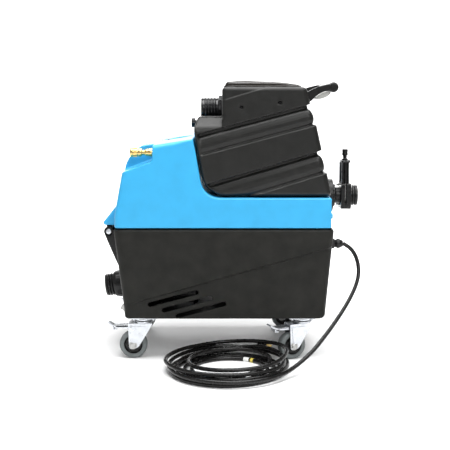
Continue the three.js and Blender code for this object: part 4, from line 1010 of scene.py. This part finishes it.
PAD_X, PAD_Z, PAD_LEAN = 206, 594, 22 * DEGREE
oval = []
for cos, sin in round_places(48, 1):
    u, v = 17 * cos, 6 * sin
    oval.append((PAD_X + u * math.cos(PAD_LEAN) - v * math.sin(PAD_LEAN),
                 PAD_Z + u * math.sin(PAD_LEAN) + v * math.cos(PAD_LEAN)))
pad = slab("y", oval, -119, 119)
piece("palm_pad", "recovery", GRIP, [pad], ["handle_grip_pad"], bevel=1.5, segments=3)
plugs = []
for x, z in SHROUD_SCREWS:
    stand = Matrix.Translation((x, 0, z))
    screw = turned("y", [(-157.5, 0), (-157.5, 3, 0.8), (-152, 3), (-152, 0)])
    plugs += [moved(screw, stand), moved(screw, stand @ HALF_TURN)]
piece("shroud_screws", "recovery", GLOSS, plugs)

# ---- float, standpipe and the works

FLOAT_X, PIPE_Y = 100, 48
FLOAT_AXIS = (FLOAT_X, 0, 0)
riser = [(379.3, 14), (379.3, 18, 1), (585, 18, 3), (585, 0), (581, 0), (581, 14)]
standpipe = [
    turned("z", riser, (FLOAT_X, PIPE_Y, 0)), block(86, 114, -14, PIPE_Y, 580.5, 585),
    block(86, 90, -14, PIPE_Y, 557, 581), block(110, 114, -14, PIPE_Y, 557, 581),
    collar("z", 548, 558, 10, 19, 1, FLOAT_AXIS), collar("z", 484, 492, 9, 19, 1, FLOAT_AXIS)]
standpipe += [rod("z", 490, 550, 1.8, (FLOAT_X + x, y, 0), segments=12) for x, y in round_places(8, 17)]
piece("standpipe_riser", "recovery", BLACK, standpipe, ["standpipe"], bevel=0.6)
BALL_Z, BALL_RADIUS = 503.3, 15
ball = [(BALL_Z - BALL_RADIUS * math.cos(a), BALL_RADIUS * math.sin(a))
        for a in np.linspace(0, math.pi, 25)]
seam = rod("z", BALL_Z - 0.5, BALL_Z + 0.5, BALL_RADIUS + 0.1, FLOAT_AXIS, 0.3)
piece("float_sphere", "float_ball", FLOAT_WHITE, [turned("z", ball, FLOAT_AXIS), seam], ["float_ball"])

FAN = (70, 35, 0)


def round_fan(count, radius, first=0.0):
    """Places spaced evenly round the fan's axis."""
    return [(FAN[0] + x, FAN[1] + y, 0) for x, y in round_places(count, radius, first)]


fan_case = [
    turned("z", [(103, 0), (103, 75, 3), (124, 75, 1), (125, 77, 1), (129, 77, 1), (130, 75, 1),
                 (150, 75, 5), (150, 12, 1), (146, 12), (146, 71), (107, 71), (107, 0)], FAN),
    block(-40, 0, 13, 17, 110, 145), block(-40, 0, 53, 57, 110, 145),
    block(-40, 0, 13, 57, 110, 114), block(-40, 0, 13, 57, 141, 145)]
fan_case += bolts("z", 149.5, 3, round_fan(8, 64), 7)
piece("fan_case", "base", ALUMINIUM, fan_case, ["vacuum_fan_case"], bevel=0.6)
can = [turned("z", [(150.3, 40), (150.3, 46, 1), (200, 46), (204, 46), (204, 40)], FAN),
       turned("z", [(222, 40), (222, 46), (238, 46, 5), (238, 12), (230, 12), (230, 40)], FAN)]
can += [rod("z", 200, 226, 3.5, place, segments=12) for place in round_fan(8, 43, 0.4)]
piece("motor_can", "base", ALUMINIUM, can, ["vacuum_motor_frame"], bevel=0.5)
rotor = [
    rod("z", 111, 242, 5, FAN, 0.5),
    turned("z", [(160, 0), (160, 24, 3), (164, 30, 3), (196, 30, 3), (200, 24, 3), (200, 0)], FAN),
    rod("z", 204, 222, 14, FAN, 0.6),
    rod("z", 116, 117.5, 62, FAN, 0.5),
    rod("z", 128.5, 130, 62, FAN, 0.5)]
rotor += spun(slab("z", [(16, -1), (38, 5), (58, 20), (57, 21), (37, 7), (15, 1)], 117, 129), 8, "Z", FAN)
piece("motor_rotor", "armature", COPPER, rotor, ["vacuum_armature"], bevel=0.3)

PUMP = (0, -70, 145)
pump = [turned("x", [(-165, 0), (-165, 32, 2), (-80, 32, 2), (-73, 26, 5), (-73, 0)], PUMP),
        block(-155, -85, -98, -42, 103, 122)]
pump += spun(slab("x", [(30, -0.8), (33.6, -0.6), (33.6, 0.6), (30, 0.8)], -158, -84), 24, "X", PUMP)
piece("pump_can", "base", BLACK, pump, ["pump_motor"], bevel=0.4, slot="motor_paint")
head = [slab("x", rectangle(-100, -40, 117, 173, 6), -209, -165.3)]
head += [turned("z", [(170, 0), (170, 8.5), (177, 8.5, 1), (178, 6), (181, 7, 0.5), (184, 6), (187, 7, 0.5),
                      (193, 5.6, 1), (193, 0)], (-187, y, 0)) for y in (-86, -54)]
piece("pump_end", "base", BLACK, head, ["pump_head"], bevel=1)
heater = [
    turned("x", [(-197, 0), (-197, 29, 1), (-188, 29, 1), (-188, 26, 1), (-62, 26, 1), (-62, 29, 1),
                 (-53, 29, 1), (-53, 0)], (0, 115, 150)),
    block(-170, -156, 95, 135, 103, 140), block(-100, -86, 95, 135, 103, 140)]
piece("heater_drum", "base", ALUMINIUM, heater, ["inline_heater"], bevel=1)

# ---- casters

WHEEL = (-25, 0, 31.7)
TYRE_SIDE = ((9.5, 21.3), (10.6, 24, 1), (11, 27, 2), (9.4, 30.6, 2.5), (5, 31.6, 3))
HUB_SIDE = ((12.5, 4.3), (12.5, 8, 0.8), (8, 9, 1), (5, 12, 2), (5, 18, 1.5), (8, 21))
CASTERS = (("front_left", -196, -130, 0), ("front_right", -196, 130, 0),
           ("rear_left", 162, -130, 22), ("rear_right", 162, 130, -22))


def both_sides(half, *middle):
    """A wheel's closed section from the corners of its +Y half, mirrored."""
    return [(-y, *rest) for y, *rest in half] + [*middle] + [*reversed(half)]


def caster(name, x, y, swivel):
    """One braked swivel caster: a bolted plate, a fork, a wheel and a pedal."""
    caster_name = f"caster_{name}_"
    stand = Matrix.Translation((x, y, 0))
    turn = stand @ Matrix.Rotation(swivel * DEGREE, 4, "Z")

    def part(ending, body, material, solids, node, **options):
        piece(caster_name + ending, body, material, solids, [caster_name + node], **options)

    plate = [slab("z", rectangle(-30, 30, -24, 24, 4), 94, 96.7),
             turned("z", [(88.7, 0), (88.7, 22, 1.5), (91, 24.5, 1.5), (94.2, 24.5, 1), (94.2, 0)]),
             turned("z", [(75.5, 0), (75.5, 4, 0.5), (90, 4), (90, 0)])]
    plate += placed(bolt("z", -79, 4, (0, 0, 0), 12), UPSIDE_DOWN)
    plate += placed(bolts("z", -94, 4, [(a, b, 0) for a in (-22, 22) for b in (-17, 17)], 7), UPSIDE_DOWN)
    part("top", "base", ZINC, placed(plate, stand), "plate", bevel=0.4)
    crown = [(80.5, 5), (80.5, 15, 1), (83, 22, 2), (87.8, 24, 1), (87.8, 20), (84, 17), (83, 5)]
    fork = [turned("z", crown),
            slab("z", [(-35, -15.7, 5), (-12, -15.7, 6), (12, -15.7, 6), (12, 15.7, 6), (-12, 15.7, 6),
                       (-35, 15.7, 5)], 80, 82.4)]
    for low, high in ((-15.8, -13.2), (13.2, 15.8)):
        fork.append(slab("y", [(-36, 82.4, 3), (20, 82.4, 5), (11, 66, 8), (-14, 25, 9), (-34, 21, 11)],
                         low, high))
    for low, high in ((-17, -15.2), (15.2, 17)):
        fork.append(slab("y", [(-31, 76, 2), (4, 76, 3), (-20, 36, 3), (-28, 36, 3)], low, high))
    part("yoke", caster_name + "swivel", ZINC, placed(fork, turn), "fork", bevel=0.6)
    axle = [rod("y", -18.5, 18.5, 3.9, WHEEL, 0.6)]
    axle += bolt("y", 16.2, 3.8, WHEEL, 12)
    axle += placed(bolt("y", 16.2, 3.8, (-WHEEL[0], 0, WHEEL[2]), 12), HALF_TURN)
    part("bolt", caster_name + "swivel", STEEL, placed(axle, turn), "axle", bevel=0.3)
    hub = [turned("y", both_sides(HUB_SIDE), WHEEL)]
    hub += spun(block(8, 20, -7.4, 7.4, -1.4, 1.4), 6, "Y", WHEEL)
    part("core", caster_name + "wheel", BLACK, placed(hub, turn), "hub", bevel=0.4, slot="hub_plastic")
    tyre = turned("y", both_sides(TYRE_SIDE, (0, 31.7)), WHEEL, 96)
    part("tread", caster_name + "wheel", TYRE, placed([tyre], turn), "tyre")
    pedal = [slab("y", [(-27, 73.5), (-27, 76), (-69, 76.4, 4), (-80.5, 83.4, 1), (-82.6, 81.2, 1),
                        (-70.5, 73.2, 4), (-44, 72.6, 4)], -11, 11),
             slab("y", [(-70, 76), (-80.5, 83.3), (-81, 84), (-69, 77.4)], -8.5, 8.5),
             rod("y", -17, 17, 2.5, (-30, 0, 75), 0.5),
             slab("y", [(-71, 76), (-71, 67, 1), (-62, 66.4, 1), (-61, 68), (-68.6, 68.8), (-68.6, 76)],
                  -11, 11)]
    for low, high in ((-11, -9.4), (9.4, 11)):
        pedal.append(slab("y", [(-27, 70, 1), (-27, 76.5, 1), (-66, 76.5, 1), (-60, 70.5, 2)], low, high))
    part("lever", caster_name + "brake", ZINC, placed(pedal, turn), "pedal", bevel=0.4)


for place in CASTERS:
    caster(*place)

drain = [slab("y", [(front_wall(105) - 1, 104), (front_wall(118) - 1, 122), (front_wall(118) - 9, 120, 2),
                    (front_wall(105) - 7, 108, 3)], -127, -113),
         turned("x", [(front_wall(112) - 12, 0), (front_wall(112) - 12, 4, 1), (front_wall(112), 4),
                      (front_wall(112), 0)], (0, -120, 113))]
piece("tub_drain_clip", "base", STEEL, drain, bevel=0.5)

# ---- studio and finish


def light(name, place, target, size, power):
    data = bpy.data.lights.new(name, "AREA")
    data.shape = "RECTANGLE"
    data.size, data.size_y = size
    data.energy = power
    lamp = bpy.data.objects.new(name, data)
    lamp.location = place
    lamp.rotation_euler = (Vector(target) - Vector(place)).to_track_quat("-Z", "Y").to_euler()
    bpy.context.scene.collection.objects.link(lamp)


light("key", (0.7, -2.6, 1.9), (0, 0, 0.35), (1.6, 1.2), 35)
light("fill", (-1.9, -1.4, 1.0), (0, 0, 0.3), (1.2, 1.6), 3)
light("top", (0.1, -0.3, 2.3), (0, 0, 0.4), (2.4, 1.7), 95)
light("back", (0.2, 2.0, 1.4), (0, 0, 0.4), (2.0, 1.2), 14)
light("backdrop", (0, 1.4, 2.6), (0, 4.5, 1.2), (3.5, 1.5), 160)

floor_mesh = bpy.data.meshes.new("floor")
sweep = [(-6, 0), (2.4, 0)]
sweep += [(2.4 + 1.6 * math.sin(a), 1.6 - 1.6 * math.cos(a)) for a in np.linspace(0.1, math.pi / 2, 12)]
sweep.append((4, 5))
corners = [(side, y, z) for y, z in sweep for side in (-7, 7)]
strips = [(2 * i, 2 * i + 1, 2 * i + 3, 2 * i + 2) for i in range(len(sweep) - 1)]
floor_mesh.from_pydata(corners, [], strips)
floor_mesh.polygons.foreach_set("use_smooth", [True] * len(strips))
floor_paint = surface("studio_floor", (0.93, 0.93, 0.93), 0.75, mottle=0.01, grain=0.02)
floor_mesh.materials.append(floor_paint.material)
studio_floor = bpy.data.objects.new("studio_floor", floor_mesh)
bpy.context.scene.collection.objects.link(studio_floor)

world = bpy.data.worlds.new("studio")
world.use_nodes = True
world.node_tree.nodes["Background"].inputs["Color"].default_value = (1, 1, 1, 1)
world.node_tree.nodes["Background"].inputs["Strength"].default_value = 0.3
bpy.context.scene.world = world
bpy.context.scene.view_settings.view_transform = "Standard"
